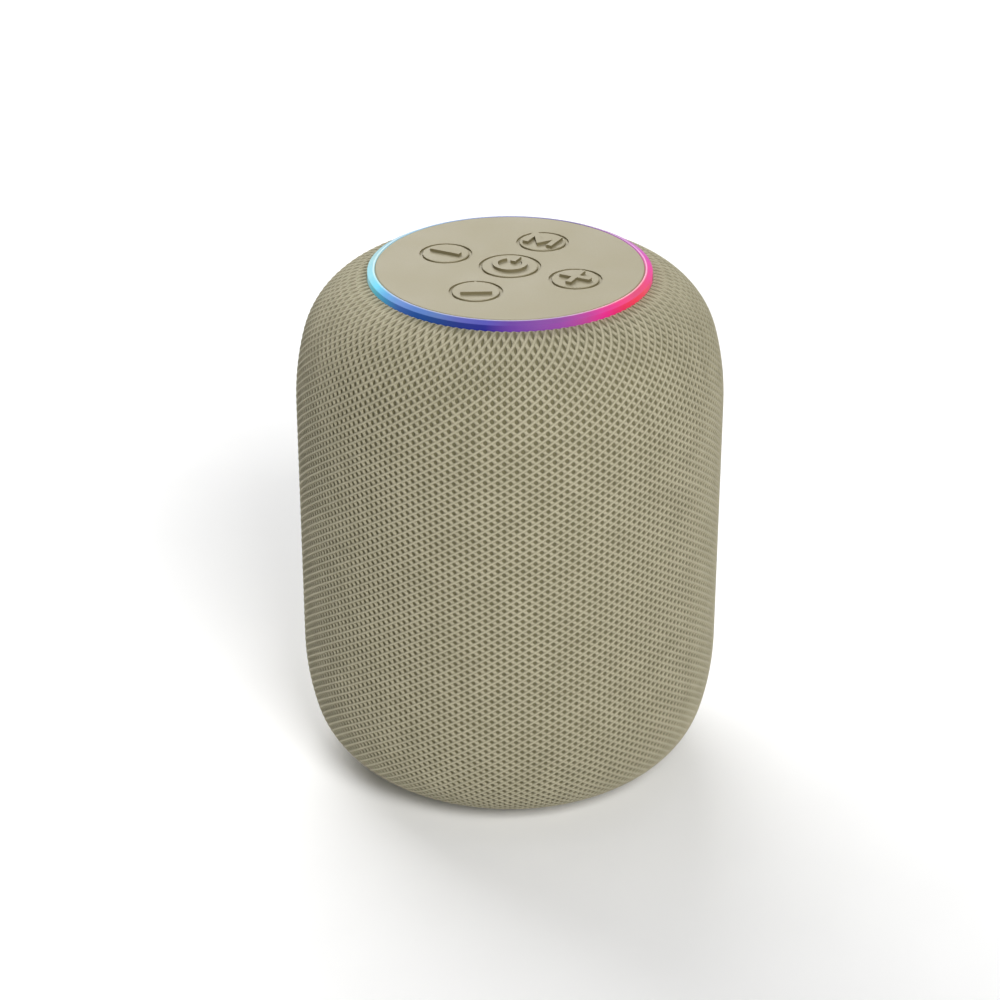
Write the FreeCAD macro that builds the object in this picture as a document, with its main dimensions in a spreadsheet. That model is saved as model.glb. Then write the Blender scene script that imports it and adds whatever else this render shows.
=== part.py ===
"""Portable smart speaker: a barrel body in a knitted sleeve, with a lit ring and five keys on top.

Frame: +Z up, origin on the floor at the middle of the foot, ports towards +Y.  Millimetres.
"""
import FreeCAD, Part
import Sketcher
import math
import os
import re

os.makedirs("parts", exist_ok=True)
doc = FreeCAD.newDocument("SmartSpeaker")

# ---------------------------------------------------------------- driving dimensions

SIZES = (
    # outer form
    ("body_radius", 50.0, "outside radius of the sleeve at its straight middle"),
    ("wall_half", 31.0, "half the height of the straight middle"),
    ("ease_radius", 63.4, "arc that eases the straight wall into each end"),
    ("ease_angle", 15.0, "sweep of that arc, degrees"),
    ("corner_radius", 19.6, "arc that turns each end over"),
    ("rim_radius", 32.8, "radius at which the sleeve stops, top and bottom"),
    ("foot_height", 1.0, "how far the foot stands below the sleeve"),
    ("sleeve_wall", 1.2, "thickness of the knitted sleeve"),
    ("shell_wall", 2.2, "wall of the cage under the sleeve"),
    ("seat", 0.02, "gap between pieces that rest on each other"),
    ("loose", 0.1, "gap between pieces that are pushed together"),
    ("play", 0.3, "gap between pieces that are slipped together"),
    ("overcut", 1.0, "how far a cut starts outside the solid that it cuts"),
    # top plate, ring and keys
    ("plate_radius", 31.0, "top plate"),
    ("plate_rise", 1.95, "top of the plate above the end of the sleeve"),
    ("plate_thick", 2.0, "top plate"),
    ("plate_edge", 0.3, "chamfer round the top of the plate"),
    ("lip_thick", 0.4, "plate left over the flange of a key"),
    ("rib_inset", 1.5, "rib under the plate, in from its edge"),
    ("rib_wall", 1.5, "rib under the plate"),
    ("ring_wall_rise", 1.3, "lit outer wall of the ring, above the sleeve"),
    ("ring_crest", 0.3, "flat top of the ring beside the plate"),
    ("ring_foot_in", 27.7, "inner radius of the foot of the ring"),
    ("ring_foot_thick", 1.6, "foot of the ring"),
    ("key_pitch", 16.7, "centre of the plate to the centre of an outer key"),
    ("key_turn", -27.4, "turn of the key layout about Z, degrees"),
    ("key_radius", 5.4, "outer key"),
    ("power_radius", 6.45, "middle key"),
    ("key_gap", 0.72, "groove round a key"),
    ("key_proud", 0.1, "key above the plate"),
    ("key_edge", 0.2, "rounding of a key's top edge"),
    ("key_flange", 0.7, "how far a key's flange reaches past its hole"),
    ("flange_thick", 0.9, "flange of a key"),
    ("flange_gap", 0.05, "flange to the plate above it, at rest"),
    ("key_travel", 0.4, "travel of a key"),
    ("stem_radius", 2.0, "stem under a key"),
    ("sign_rise", 0.7, "height of the raised signs"),
    ("sign_stroke", 1.35, "stroke of the signs"),
    ("sign_length", 7.5, "length of the plus and minus, width of the M"),
    ("sign_height", 6.0, "height of the M"),
    ("play_side", 7.2, "side of the play triangle"),
    ("power_sign_radius", 4.0, "outside of the ring of the power sign"),
    ("power_sign_stroke", 1.2, "stroke of the power sign"),
    ("power_tick", 3.2, "length of the tick of the power sign"),
    ("power_tick_place", 3.0, "middle of that tick from the middle of the key"),
    ("power_sign_gap", 40.0, "half opening of that ring, degrees"),
    # switches and boards under the plate
    ("board_thick", 1.0, "circuit boards"),
    ("key_board_radius", 22.4, "board with the switches"),
    ("switch_side", 6.0, "switch body"),
    ("switch_height", 2.6, "switch body"),
    ("plunger_radius", 1.7, "plunger of a switch"),
    ("plunger_bore", 0.15, "plunger to its bore, on the radius"),
    ("plunger_sink", 1.3, "plunger inside its bore, at rest"),
    ("plunger_rise", 1.0, "plunger above the switch, at rest"),
    ("plunger_room", 0.2, "bore below a plunger that is pressed right down"),
    ("key_board_lift", 3.0, "key board above the floor of the chassis"),
    ("boss_radius", 2.1, "screw bosses in the top"),
    ("boss_circle", 25.1, "circle of the plate's bosses"),
    ("board_boss_circle", 9.0, "circle of the key board's bosses"),
    ("board_boss_turn", 20.0, "turn of those bosses about Z, degrees"),
    ("board_screw_radius", 1.0, "small screws"),
    ("board_screw_head", 1.9, "radius of their heads"),
    ("board_screw_thick", 1.2, "their heads"),
    ("board_screw_depth", 2.2, "how far the key board's screws go in"),
    ("board_screw_end", 0.4, "their pilot holes deeper than the screws"),
    ("plate_screw_depth", 5.0, "how far the plate's screws go in"),
    ("led_count", 12.0, "leds under the ring"),
    ("led_side", 2.0, "led"),
    ("led_height", 1.0, "led"),
    ("led_circle", 28.8, "circle of the leds"),
    ("led_clear", 0.3, "leds below the foot of the ring"),
    ("ring_lift", 1.6, "foot of the ring below the plate"),
    ("led_board_in", 27.5, "inner radius of the led board"),
    ("led_board_out", 30.0, "outer radius of the led board"),
    ("led_ledge", 1.4, "ledge of the chassis under the led board"),
    # frame of the body
    ("chassis_floor", 2.0, "floor of the top chassis"),
    ("chassis_wall", 1.9, "wall of the top chassis"),
    ("chassis_depth", 9.2, "foot of the ring down to the floor of the chassis"),
    ("chassis_flange", 36.0, "radius of the flange that catches under the shell"),
    ("baffle_thick", 3.0, "baffles"),
    ("cell_length", 65.2, "battery cell"),
    ("cell_radius", 9.2, "battery cell"),
    ("cell_circle", 36.2, "axis of the body to the axis of a cell"),
    ("cell_spread", 55.0, "each cell from the front, degrees"),
    ("cell_end_gap", 0.4, "cell to the baffles"),
    ("clip_wall", 0.7, "clips round the cells"),
    ("clip_height", 9.0, "clips round the cells"),
    ("clip_mouth", 35.0, "half opening of a clip, degrees"),
    ("clip_place", 6.0, "clips from the baffles"),
    ("clip_gap", 0.05, "clip to its cell"),
    ("lower_baffle_lift", 32.0, "underside of the lower baffle above the floor"),
    ("tube_radius", 26.0, "outside of the enclosure tube"),
    ("tube_wall", 1.8, "enclosure tube"),
    ("gasket_thick", 0.6, "gaskets of the tube and the driver"),
    ("post_radius", 3.0, "posts between the baffles"),
    ("post_circle", 31.0, "circle of those posts"),
    ("chassis_post_circle", 29.0, "circle of the posts under the chassis"),
    ("chassis_screw_depth", 5.0, "how far their screws go in"),
    ("screw_radius", 1.4, "screws of the frame"),
    ("screw_bite", 0.05, "pilot hole wider than its screw, on the radius"),
    ("screw_clear", 0.1, "clearance hole wider than its screw, on the radius"),
    ("screw_end", 0.5, "pilot hole deeper than its screw"),
    ("screw_head", 2.6, "radius of their heads"),
    ("screw_head_thick", 1.8, "their heads"),
    ("head_clear", 0.2, "sunk head to its hole, on the radius"),
    ("screw_depth", 9.0, "how far they go into a post"),
    ("deflector_base", 38.0, "disc under the deflector"),
    ("deflector_lift", 8.0, "underside of that disc above the floor"),
    ("deflector_thick", 2.0, "that disc"),
    ("deflector_foot", 26.0, "radius of the cone where it leaves the disc"),
    ("deflector_rise", 13.5, "cone of the deflector above its disc"),
    ("deflector_tip", 2.0, "radius of the flat tip of that cone"),
    # bottom
    ("cover_thick", 2.0, "base cover"),
    ("cover_rim", 1.8, "rim of the base cover"),
    ("foot_outer", 29.0, "outside radius of the foot"),
    ("foot_inner", 22.0, "inside radius of the foot"),
    ("foot_sink", 1.0, "foot let into the cover"),
    ("base_screw_circle", 15.0, "circle of the base screws"),
    ("base_boss_radius", 4.2, "bosses round the base screws"),
    ("base_boss_floor", 2.5, "floor of those bosses, under the deflector"),
    ("base_screw_depth", 5.0, "how far the base screws go in"),
    # sound holes
    ("slot_count", 30.0, "sound slots round each half of the cage"),
    ("slot_width", 4.2, "sound slot"),
    ("lower_slot_low", 14.0, "foot of the lower slots above the floor"),
    ("lower_slot_high", 31.0, "head of the lower slots above the floor"),
    ("upper_slot_low", 88.0, "foot of the upper slots above the floor"),
    ("upper_slot_high", 111.0, "head of the upper slots above the floor"),
    ("lap_height", 3.0, "lap between the halves of the cage"),
    # driver and passive radiator
    ("driver_flange", 23.6, "radius of the driver's flange"),
    ("driver_cutout", 20.4, "hole for the driver in its baffle"),
    ("flange_plate", 1.4, "flange of the driver"),
    ("basket_depth", 14.0, "flange to the back of the basket"),
    ("basket_neck", 13.5, "radius of the basket at its back"),
    ("basket_skin", 1.2, "wall of the basket"),
    ("driver_screw_circle", 22.1, "circle of the driver's screws"),
    ("driver_screw_head", 1.6, "radius of the heads of those screws"),
    ("driver_screw_short", 0.3, "those screws short of the top of the baffle"),
    ("magnet_radius", 15.0, "magnet"),
    ("magnet_thick", 7.0, "magnet"),
    ("magnet_inset", 1.0, "front and back plates smaller than the magnet, on the radius"),
    ("magnet_bore", 1.5, "magnet's bore wider than the front plate's, on the radius"),
    ("washer_thick", 2.0, "front plate of the magnet"),
    ("yoke_thick", 2.0, "back plate of the magnet"),
    ("pole_radius", 6.0, "pole piece"),
    ("coil_gap", 0.4, "voice coil to the pole and to the washer"),
    ("coil_wall", 0.7, "voice coil"),
    ("coil_overhang", 2.0, "voice coil past the front plate"),
    ("spider_gap", 0.2, "spider to the voice coil"),
    ("spider_grip", 0.4, "spider let into the basket"),
    ("spider_thick", 0.4, "spider"),
    ("spider_drop", 4.2, "underside of the spider below the back of the basket"),
    ("cone_radius", 16.5, "edge of the cone"),
    ("cone_skin", 0.6, "cone"),
    ("cone_depth", 7.5, "edge of the cone to its neck"),
    ("surround_out", 19.6, "outer edge of the surround"),
    ("surround_skin", 0.5, "surrounds"),
    ("surround_edge", 0.4, "flat edges of the surrounds"),
    ("surround_seat", 1.0, "seat of the driver's surround on its flange"),
    ("radiator_margin", 1.0, "radiator's frame beyond its surround"),
    ("cone_sink", 0.6, "edge of the cone inside the flange"),
    ("dust_cap_drop", 3.8, "tip of the dust cap below the neck of the cone"),
    ("dust_cap_sphere", 14.0, "sphere of the dust cap"),
    ("dust_cap_skin", 0.4, "dust cap"),
    ("dust_cap_margin", 0.5, "edge of the dust cap beyond the voice coil"),
    ("radiator_out", 22.5, "radius of the passive radiator's frame"),
    ("radiator_opening", 18.6, "hole in its baffle"),
    ("radiator_disc", 14.5, "its diaphragm"),
    ("radiator_thick", 1.6, "its diaphragm and frame"),
    # ports at the back
    ("port_height", 49.0, "middle of the port panel above the floor"),
    ("port_width", 36.0, "port panel"),
    ("port_tall", 12.0, "port panel"),
    ("port_depth", 6.0, "port panel, inwards from the sleeve"),
    ("port_inset", 0.2, "face of the port panel inside the sleeve"),
    ("port_corner", 3.0, "corners of the port panel"),
    ("port_flange", 1.5, "flange of the port panel inside the cage"),
    ("usb_width", 8.9, "USB-C shell"),
    ("usb_tall", 3.2, "USB-C shell"),
    ("usb_wall", 0.3, "USB-C shell"),
    ("usb_flat", 0.1, "half the flat of the shell's ends"),
    ("usb_depth", 6.2, "USB-C socket"),
    ("usb_tongue", 6.7, "width of the tongue of the USB-C socket"),
    ("usb_tongue_thick", 0.7, "that tongue"),
    ("usb_tongue_short", 0.8, "that tongue inside the mouth"),
    ("usb_place", 10.5, "USB-C socket from the middle, towards +X"),
    ("aux_radius", 3.2, "nose of the 3.5 mm socket"),
    ("aux_bore", 1.8, "bore of the 3.5 mm socket"),
    ("aux_block_depth", 8.0, "housing of the 3.5 mm socket"),
    ("aux_margin", 0.3, "that housing beyond the nose"),
    ("aux_end", 0.6, "blind end of the bore"),
    ("card_width", 12.0, "card slot"),
    ("card_tall", 2.4, "card slot housing"),
    ("card_slot", 1.0, "card slot"),
    ("card_wall", 1.0, "walls of the card slot housing"),
    ("card_place", -11.0, "card slot from the middle, towards +X"),
    ("socket_mouth", 47.6, "mouths of the sockets, from the axis"),
    ("card_mouth", 45.0, "mouth of the card slot, from the axis"),
    ("main_board_back", 34.0, "rear face of the main board, from the axis"),
    ("main_board_width", 42.0, "main board"),
    ("main_board_low", 40.0, "foot of the main board above the floor"),
    ("main_board_clear", 6.0, "head of the main board below the upper baffle"),
    ("ribbon_width", 7.0, "ribbon to the key board"),
    ("ribbon_thick", 0.3, "ribbon to the key board"),
    ("ribbon_bend", 2.5, "first bend of the ribbon"),
    ("ribbon_drop_y", 26.0, "where the ribbon goes down through the chassis"),
    ("ribbon_start", 7.0, "end of the ribbon, in from the edge of the key board"),
    ("ribbon_hang", 1.0, "ribbon's first bend below the chassis"),
    ("ribbon_overlap", 5.0, "ribbon's tail on the main board"),
    ("ribbon_side", 0.5, "slots wider than the ribbon, on each side"),
    ("ribbon_slot", 1.6, "slot for the ribbon in the chassis"),
    ("ribbon_gate", 2.4, "slot for the ribbon in the upper baffle"),
    ("microphone_side", 2.6, "microphone"),
    ("microphone_height", 1.0, "microphone"),
    ("microphone_place", 17.5, "microphones from the axis, between the keys"),
    ("bracket_place", 10.0, "inner side of a board bracket from the middle"),
    ("bracket_width", 8.0, "board bracket"),
    ("bracket_thick", 1.2, "board bracket"),
    ("bracket_foot", 6.0, "foot of a board bracket, inwards from the board"),
    ("bracket_rise", 7.0, "board bracket up the board"),
    ("lead_radius", 0.6, "leads"),
    ("lead_circle", 38.6, "circle that the leads follow"),
    ("lead_height", 66.0, "leads above the floor"),
    ("cell_reach", 16.5, "edge of a cell from its middle, seen from the axis, degrees"),
    ("lead_margin", 1.5, "leads short of the edge of the main board, degrees"),
)

# parts on the main board: side, place across and above the middle of the board, thickness
BOARD_PARTS = (
    ("amplifier", 8, -4, 6, 1.2),
    ("processor", 7, -4, -8, 1.0),
    ("charger", 5, 9, -8, 1.0),
    ("coil_one", 5, 8, 4, 3.0),
    ("coil_two", 5, 8, 11, 3.0),
    ("radio", 6, -12, 18, 1.4),
)

# lengths and heights that follow from the sizes above
DERIVED = {
    "ease_x": "body_radius - ease_radius",
    "corner_x": "ease_x + (ease_radius - corner_radius) * cos(ease_angle)",
    "corner_up": "wall_half + (ease_radius - corner_radius) * sin(ease_angle)",
    "half_height": "corner_up + sqrt(corner_radius^2 - (rim_radius - corner_x)^2)",
    "mid": "foot_height + half_height",
    "sleeve_top": "mid + half_height",
    "shell_out": "sleeve_wall + loose",
    "shell_in": "shell_out + shell_wall",
    "core_radius": "body_radius - shell_in - play",
    "upper_core_radius": "ease_x + sqrt((ease_radius - shell_in)^2"
                         " - max(0; upper_baffle_top - mid - wall_half)^2) - play",
    "lower_core_radius": "ease_x + sqrt((ease_radius - shell_in)^2"
                         " - max(0; mid - wall_half - lower_baffle_lift)^2) - play",
    "plate_top": "sleeve_top + plate_rise",
    "plate_low": "plate_top - plate_thick",
    "ring_out": "rim_radius - loose",
    "ring_in": "plate_radius + loose",
    "ring_low": "plate_low - ring_foot_thick - ring_lift",
    "ring_foot_top": "ring_low + ring_foot_thick",
    "key_hole": "key_radius + key_gap",
    "power_hole": "power_radius + key_gap",
    "flange_top": "plate_top - lip_thick - flange_gap",
    "flange_low": "flange_top - flange_thick",
    "chassis_top": "ring_low - seat",
    "floor_top": "chassis_top - chassis_depth + chassis_floor",
    "floor_low": "floor_top - chassis_floor",
    "key_board_low": "floor_top + key_board_lift",
    "switch_low": "key_board_low + board_thick",
    "switch_top": "switch_low + switch_height",
    "plunger_top": "switch_top + plunger_rise",
    "led_low": "ring_low - led_clear - led_height",
    "led_board_low": "led_low - board_thick",
    "baffle_top": "lower_baffle_lift + baffle_thick",
    "upper_baffle_low": "baffle_top + cell_length + 2 * cell_end_gap",
    "upper_baffle_top": "upper_baffle_low + baffle_thick",
    "tube_low": "baffle_top + gasket_thick",
    "tube_high": "upper_baffle_low - gasket_thick",
    "disc_low": "deflector_lift",
    "disc_top": "disc_low + deflector_thick",
    "cover_low": "foot_height + play",
    "cover_top": "cover_low + cover_thick",
    "flange_face": "lower_baffle_lift - gasket_thick - flange_plate",
    "basket_back": "lower_baffle_lift + basket_depth",
    "washer_top": "basket_back + washer_thick",
    "magnet_top": "washer_top + magnet_thick",
    "coil_in": "pole_radius + coil_gap",
    "coil_out": "coil_in + coil_wall",
    "cone_low": "flange_face + cone_sink",
    "cone_neck": "cone_low + cone_depth",
    "ribbon_board_y": "main_board_back + ribbon_thick / 2",
    "main_board_high": "upper_baffle_low - main_board_clear",
    "rib_radius": "plate_radius - rib_inset",
    "main_board_front": "main_board_back - board_thick",
}

sheet = doc.addObject("Spreadsheet::Sheet", "Sizes")
for row, (alias, value, note) in enumerate(SIZES, start=1):
    sheet.set("A%d" % row, alias)
    sheet.set("B%d" % row, "%g" % value)
    sheet.set("C%d" % row, note)
    sheet.setAlias("B%d" % row, alias)
doc.recompute()

ALIASES = {alias for alias, _, _ in SIZES}


def bound(text):
    """An expression in plain size names, written out with the sheet's cells."""
    def word(match):
        name = match.group(0)
        if name in ALIASES:
            return "Sizes." + name
        if name in DERIVED:
            return "(" + bound(DERIVED[name]) + ")"
        return name
    return re.sub(r"[A-Za-z_][A-Za-z_0-9]*", word, str(text))


def value(text):
    """The number that an expression has now."""
    return float(sheet.evalExpression(bound(text)))


def tie(item, prop, text):
    """Bind a property of an object to an expression in size names."""
    item.setExpression(prop, bound(text))


# ---------------------------------------------------------------- builders

NODES = []


def keep(item, node):
    """Name a finished sub-part, so that it is written to its own file."""
    item.Label = node
    NODES.append(item)
    return item


def new_body(name, spot=("0", "0", "0"), turn="0"):
    body = doc.addObject("PartDesign::Body", name)
    body.AllowCompound = True
    place(body, spot, turn)
    return body


def place(item, spot, turn="0"):
    item.Placement.Rotation = FreeCAD.Rotation(FreeCAD.Vector(0, 0, 1), 0)
    for axis, text in zip("xyz", spot):
        if text != "0":
            tie(item, "Placement.Base." + axis, text)
    if turn != "0":
        tie(item, "Placement.Rotation.Angle", turn)


def origin_item(body, role):
    return [o for o in body.Origin.OriginFeatures if o.Role == role][0]


def new_sketch(body, name, plane="XY_Plane", lift="0"):
    sketch = body.newObject("Sketcher::SketchObject", name)
    sketch.AttachmentSupport = [(origin_item(body, plane), "")]
    sketch.MapMode = "FlatFace"
    if lift != "0":
        tie(sketch, "AttachmentOffset.Base.z", lift)
    return sketch


def pin(sketch, geometry, end, x=None, y=None):
    """Bind one end (or the centre) of a piece of geometry to expressions."""
    for kind, text in (("DistanceX", x), ("DistanceY", y)):
        if text is not None:
            now = value(text)
            index = sketch.addConstraint(Sketcher.Constraint(kind, -1, 1, geometry, end, now))
            sketch.setExpression("Constraints[%d]" % index, bound(text))


def arc_end(centre, start, x, y, sign):
    """The point of a circle that has the one coordinate which is given."""
    radius = math.dist(centre, start)
    if x is not None:
        return x, centre[1] + sign * math.sqrt(radius ** 2 - (x - centre[0]) ** 2)
    return centre[0] + sign * math.sqrt(radius ** 2 - (y - centre[1]) ** 2), y


def outline(sketch, start, *steps):
    """Draw a closed outline from a start point.

    A step (x, y) is a line to that point.  A step ("arc", (cx, cy), (x, y), sign, sense) is an arc
    about a centre to the point that has the given x or y, the other being None: sign picks the
    upper or right-hand one of the two such points, and sense is 1 for anticlockwise.
    """
    here = (value(start[0]), value(start[1]))
    first = here
    ends = []
    for number, step in enumerate(steps):
        if step[0] == "arc":
            _, centre_text, (x, y), sign, sense = step
            centre = (value(centre_text[0]), value(centre_text[1]))
            there = arc_end(centre, here, None if x is None else value(x),
                            None if y is None else value(y), sign)
            angles = [math.atan2(p[1] - centre[1], p[0] - centre[0]) for p in (here, there)]
            low, high = angles if sense > 0 else reversed(angles)
            if high < low:
                high += 2 * math.pi
            circle = Part.Circle(FreeCAD.Vector(*centre, 0), FreeCAD.Vector(0, 0, 1),
                                 math.dist(centre, here))
            index = sketch.addGeometry(Part.ArcOfCircle(circle, low, high), False)
            ends.append((index, 1, 2) if sense > 0 else (index, 2, 1))
            pin(sketch, index, 3, *centre_text)
            pin(sketch, index, ends[-1][2], x, y)
        else:
            there = (value(step[0]), value(step[1]))
            index = sketch.addGeometry(
                Part.LineSegment(FreeCAD.Vector(*here, 0), FreeCAD.Vector(*there, 0)), False)
            ends.append((index, 1, 2))
            pin(sketch, index, 2, *step)
        if number:
            joint = Sketcher.Constraint("Coincident", ends[-2][0], ends[-2][2], index, ends[-1][1])
            sketch.addConstraint(joint)
        here = there
    index = sketch.addGeometry(
        Part.LineSegment(FreeCAD.Vector(*here, 0), FreeCAD.Vector(*first, 0)), False)
    sketch.addConstraint(Sketcher.Constraint("Coincident", ends[-1][0], ends[-1][2], index, 1))
    pin(sketch, index, 2, *start)
    sketch.addConstraint(Sketcher.Constraint("Coincident", index, 2, ends[0][0], ends[0][1]))
    return sketch


def circle_sketch(body, name, radius, centre=("0", "0"), lift="0", plane="XY_Plane"):
    sketch = new_sketch(body, name, plane, lift)
    middle = FreeCAD.Vector(value(centre[0]), value(centre[1]), 0)
    sketch.addGeometry(Part.Circle(middle, FreeCAD.Vector(0, 0, 1), value(radius)), False)
    pin(sketch, 0, 3, *centre)
    index = sketch.addConstraint(Sketcher.Constraint("Radius", 0, value(radius)))
    sketch.setExpression("Constraints[%d]" % index, bound(radius))
    return sketch


def box_sketch(body, name, width, depth, centre=("0", "0"), lift="0", plane="XY_Plane"):
    sketch = new_sketch(body, name, plane, lift)
    left, right = ("(%s) %s (%s) / 2" % (centre[0], sign, width) for sign in "-+")
    low, high = ("(%s) %s (%s) / 2" % (centre[1], sign, depth) for sign in "-+")
    return outline(sketch, (left, low), (right, low), (right, high), (left, high))


def feature(body, kind, name, sketch, length=None, backward=False):
    item = body.newObject("PartDesign::" + kind, name)
    item.Profile = sketch
    if length is not None:
        tie(item, "Length", length)
        item.Reversed = backward
    sketch.Visibility = False
    return item


def pad(body, name, sketch, length, backward=False):
    return feature(body, "Pad", name, sketch, length, backward)


def pocket(body, name, sketch, length, backward=False):
    """A cut, which has to take something away."""
    doc.recompute()
    before = body.Shape.Volume
    item = feature(body, "Pocket", name, sketch, length, backward)
    doc.recompute()
    if not item.Shape.Volume < before:
        raise ValueError("%s cuts nothing" % name)
    return item


def revolve(body, name, start, *steps):
    """A solid of revolution about Z, from an outline in radius and height."""
    sketch = outline(new_sketch(body, name + "_outline", "XZ_Plane"), start, *steps)
    item = feature(body, "Revolution", name, sketch)
    item.ReferenceAxis = (sketch, ["V_Axis"])
    item.Angle = 360
    return item


def ring_of(body, name, originals, count):
    """Repeat features evenly about Z."""
    doc.recompute()
    item = body.newObject("PartDesign::PolarPattern", name)
    item.Originals = originals
    item.Axis = (origin_item(body, "Z_Axis"), [""])
    item.Angle = 360
    tie(item, "Occurrences", count)
    body.Tip = item
    doc.recompute()
    return item


def turned(node, start, *steps, lift="0"):
    """A sub-part that is one solid of revolution."""
    body = new_body(node, ("0", "0", lift))
    revolve(body, node + "_turn", start, *steps)
    return keep(body, node)


def tube(node, inner, outer, low, high):
    return turned(node, (inner, low), (outer, low), (outer, high), (inner, high))


def disc(node, radius, low, high):
    return turned(node, ("0", low), (radius, low), (radius, high), ("0", high))


def screws(node, circle, face, length, count, turn, up=True, shank="screw_radius", head="screw_head",
           head_thick="screw_head_thick"):
    """Screws on a circle about Z: the heads sit on a face and the shanks go up or down from it."""
    body = new_body(node, turn=turn)
    sketch = circle_sketch(body, node + "_shank_circle", shank, (circle, "0"), face)
    shaft = pad(body, node + "_shank", sketch, length, backward=not up)
    sketch = circle_sketch(body, node + "_head_circle", head, (circle, "0"), face)
    cap = pad(body, node + "_head", sketch, head_thick, backward=up)
    ring_of(body, node + "_ring", [shaft, cap], count)
    return keep(body, node)


def holes(body, name, circle, radius, low, high, count, turn="0"):
    """Round holes on a circle about Z, cut down from one height to another."""
    centre = ("(%s) * cos(%s)" % (circle, turn), "(%s) * sin(%s)" % (circle, turn))
    sketch = circle_sketch(body, name + "_circle", radius, centre, high)
    cut = pocket(body, name, sketch, "(%s) - (%s)" % (high, low))
    return ring_of(body, name + "_ring", [cut], count)


def boss_ring(body, name, circle, radius, low, high, count, turn="0"):
    """Round bosses on a circle about Z."""
    centre = ("(%s) * cos(%s)" % (circle, turn), "(%s) * sin(%s)" % (circle, turn))
    sketch = circle_sketch(body, name + "_circle", radius, centre, low)
    boss = pad(body, name, sketch, "(%s) - (%s)" % (high, low))
    return ring_of(body, name + "_ring", [boss], count)


def hole_at(body, name, radius, low, high, centre=("0", "0")):
    sketch = circle_sketch(body, name + "_circle", radius, centre, high)
    return pocket(body, name, sketch, "(%s) - (%s)" % (high, low))


def box(name, low, size):
    """A block from its lowest corner and its size."""
    item = doc.addObject("Part::Box", name)
    for prop, text in zip(("Length", "Width", "Height"), size):
        tie(item, prop, text)
    place(item, low)
    return item


def cylinder(name, radius, height, spot):
    item = doc.addObject("Part::Cylinder", name)
    tie(item, "Radius", radius)
    tie(item, "Height", height)
    place(item, spot)
    return item


def group(node, items):
    """Separate solids that share one sub-part."""
    item = doc.addObject("Part::Compound", node)
    item.Links = items
    return keep(item, node)


# ---------------------------------------------------------------- the barrel's wall

def join_height(side, depth):
    """Where the two arcs of an end meet, at a depth inside the outer surface."""
    return "mid %s (wall_half + (ease_radius - (%s)) * sin(ease_angle))" % (side, depth)


def rim_height(side, depth):
    """Height of the surface at the rim, at a depth inside the outer surface."""
    return ("mid %s (corner_up + sqrt((corner_radius - (%s))^2 - (rim_radius - corner_x)^2))"
            % (side, depth))


def end_arcs(side, depth, outward):
    """The two arcs of one end, walked towards the rim or back from it."""
    ease = ("ease_x", "mid %s wall_half" % side)
    corner = ("corner_x", "mid %s corner_up" % side)
    sense = 1 if (side == "+") == outward else -1
    upper = 1 if side == "+" else -1
    if outward:
        return (("arc", ease, (None, join_height(side, depth)), 1, sense),
                ("arc", corner, ("rim_radius", None), upper, sense))
    return (("arc", corner, (None, join_height(side, depth)), 1, sense),
            ("arc", ease, (None, "mid %s wall_half" % side), 1, sense))


def rounded_box(sketch, width, tall, radius, centre_x="0"):
    """A rounded rectangle about a point at the height of the ports."""
    left, right = "%s - (%s) / 2" % (centre_x, width), "%s + (%s) / 2" % (centre_x, width)
    low, high = "port_height - (%s) / 2" % tall, "port_height + (%s) / 2" % tall
    near_left, near_right = "%s + (%s)" % (left, radius), "%s - (%s)" % (right, radius)
    near_low, near_high = "%s + (%s)" % (low, radius), "%s - (%s)" % (high, radius)
    return outline(sketch, (centre_x, low), (near_right, low),
                   ("arc", (near_right, near_low), (None, near_low), 1, 1), (right, near_high),
                   ("arc", (near_right, near_high), (near_right, None), 1, 1), (near_left, high),
                   ("arc", (near_left, near_high), (None, near_high), -1, 1), (left, near_low),
                   ("arc", (near_left, near_low), (near_left, None), -1, 1))


def port_window(body):
    """The opening for the port panel, cut through a wall on its +Y side."""
    sketch = new_sketch(body, body.Label + "_window", "XZ_Plane")
    rounded_box(sketch, "port_width + 2 * loose", "port_tall + 2 * loose", "port_corner")
    return pocket(body, body.Label + "_window_cut", sketch, "body_radius + overcut")


def sound_slots(body, low, high):
    """Upright slots with round ends, all round a wall."""
    half = "slot_width / 2"
    foot, head = "(%s) + %s" % (low, half), "(%s) - %s" % (high, half)
    sketch = new_sketch(body, body.Label + "_slot", "XZ_Plane")
    outline(sketch, ("0 - " + half, foot), ("arc", ("0", foot), (None, foot), 1, 1), (half, head),
            ("arc", ("0", head), (None, head), -1, 1))
    cut = pocket(body, body.Label + "_slot_cut", sketch, "body_radius + overcut")
    return ring_of(body, body.Label + "_slots", [cut], "slot_count")


def fabric_sleeve():
    """The knitted sleeve, a soft shell of the true outer shape."""
    body = new_body("fabric_sleeve")
    revolve(body, "sleeve_turn", ("rim_radius", rim_height("-", "0")),
            *end_arcs("-", "0", False), ("body_radius", "mid + wall_half"), *end_arcs("+", "0", True),
            ("rim_radius", rim_height("+", "sleeve_wall")), *end_arcs("+", "sleeve_wall", False),
            ("body_radius - sleeve_wall", "mid - wall_half"), *end_arcs("-", "sleeve_wall", True))
    port_window(body)
    return keep(body, "fabric_sleeve")


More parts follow.
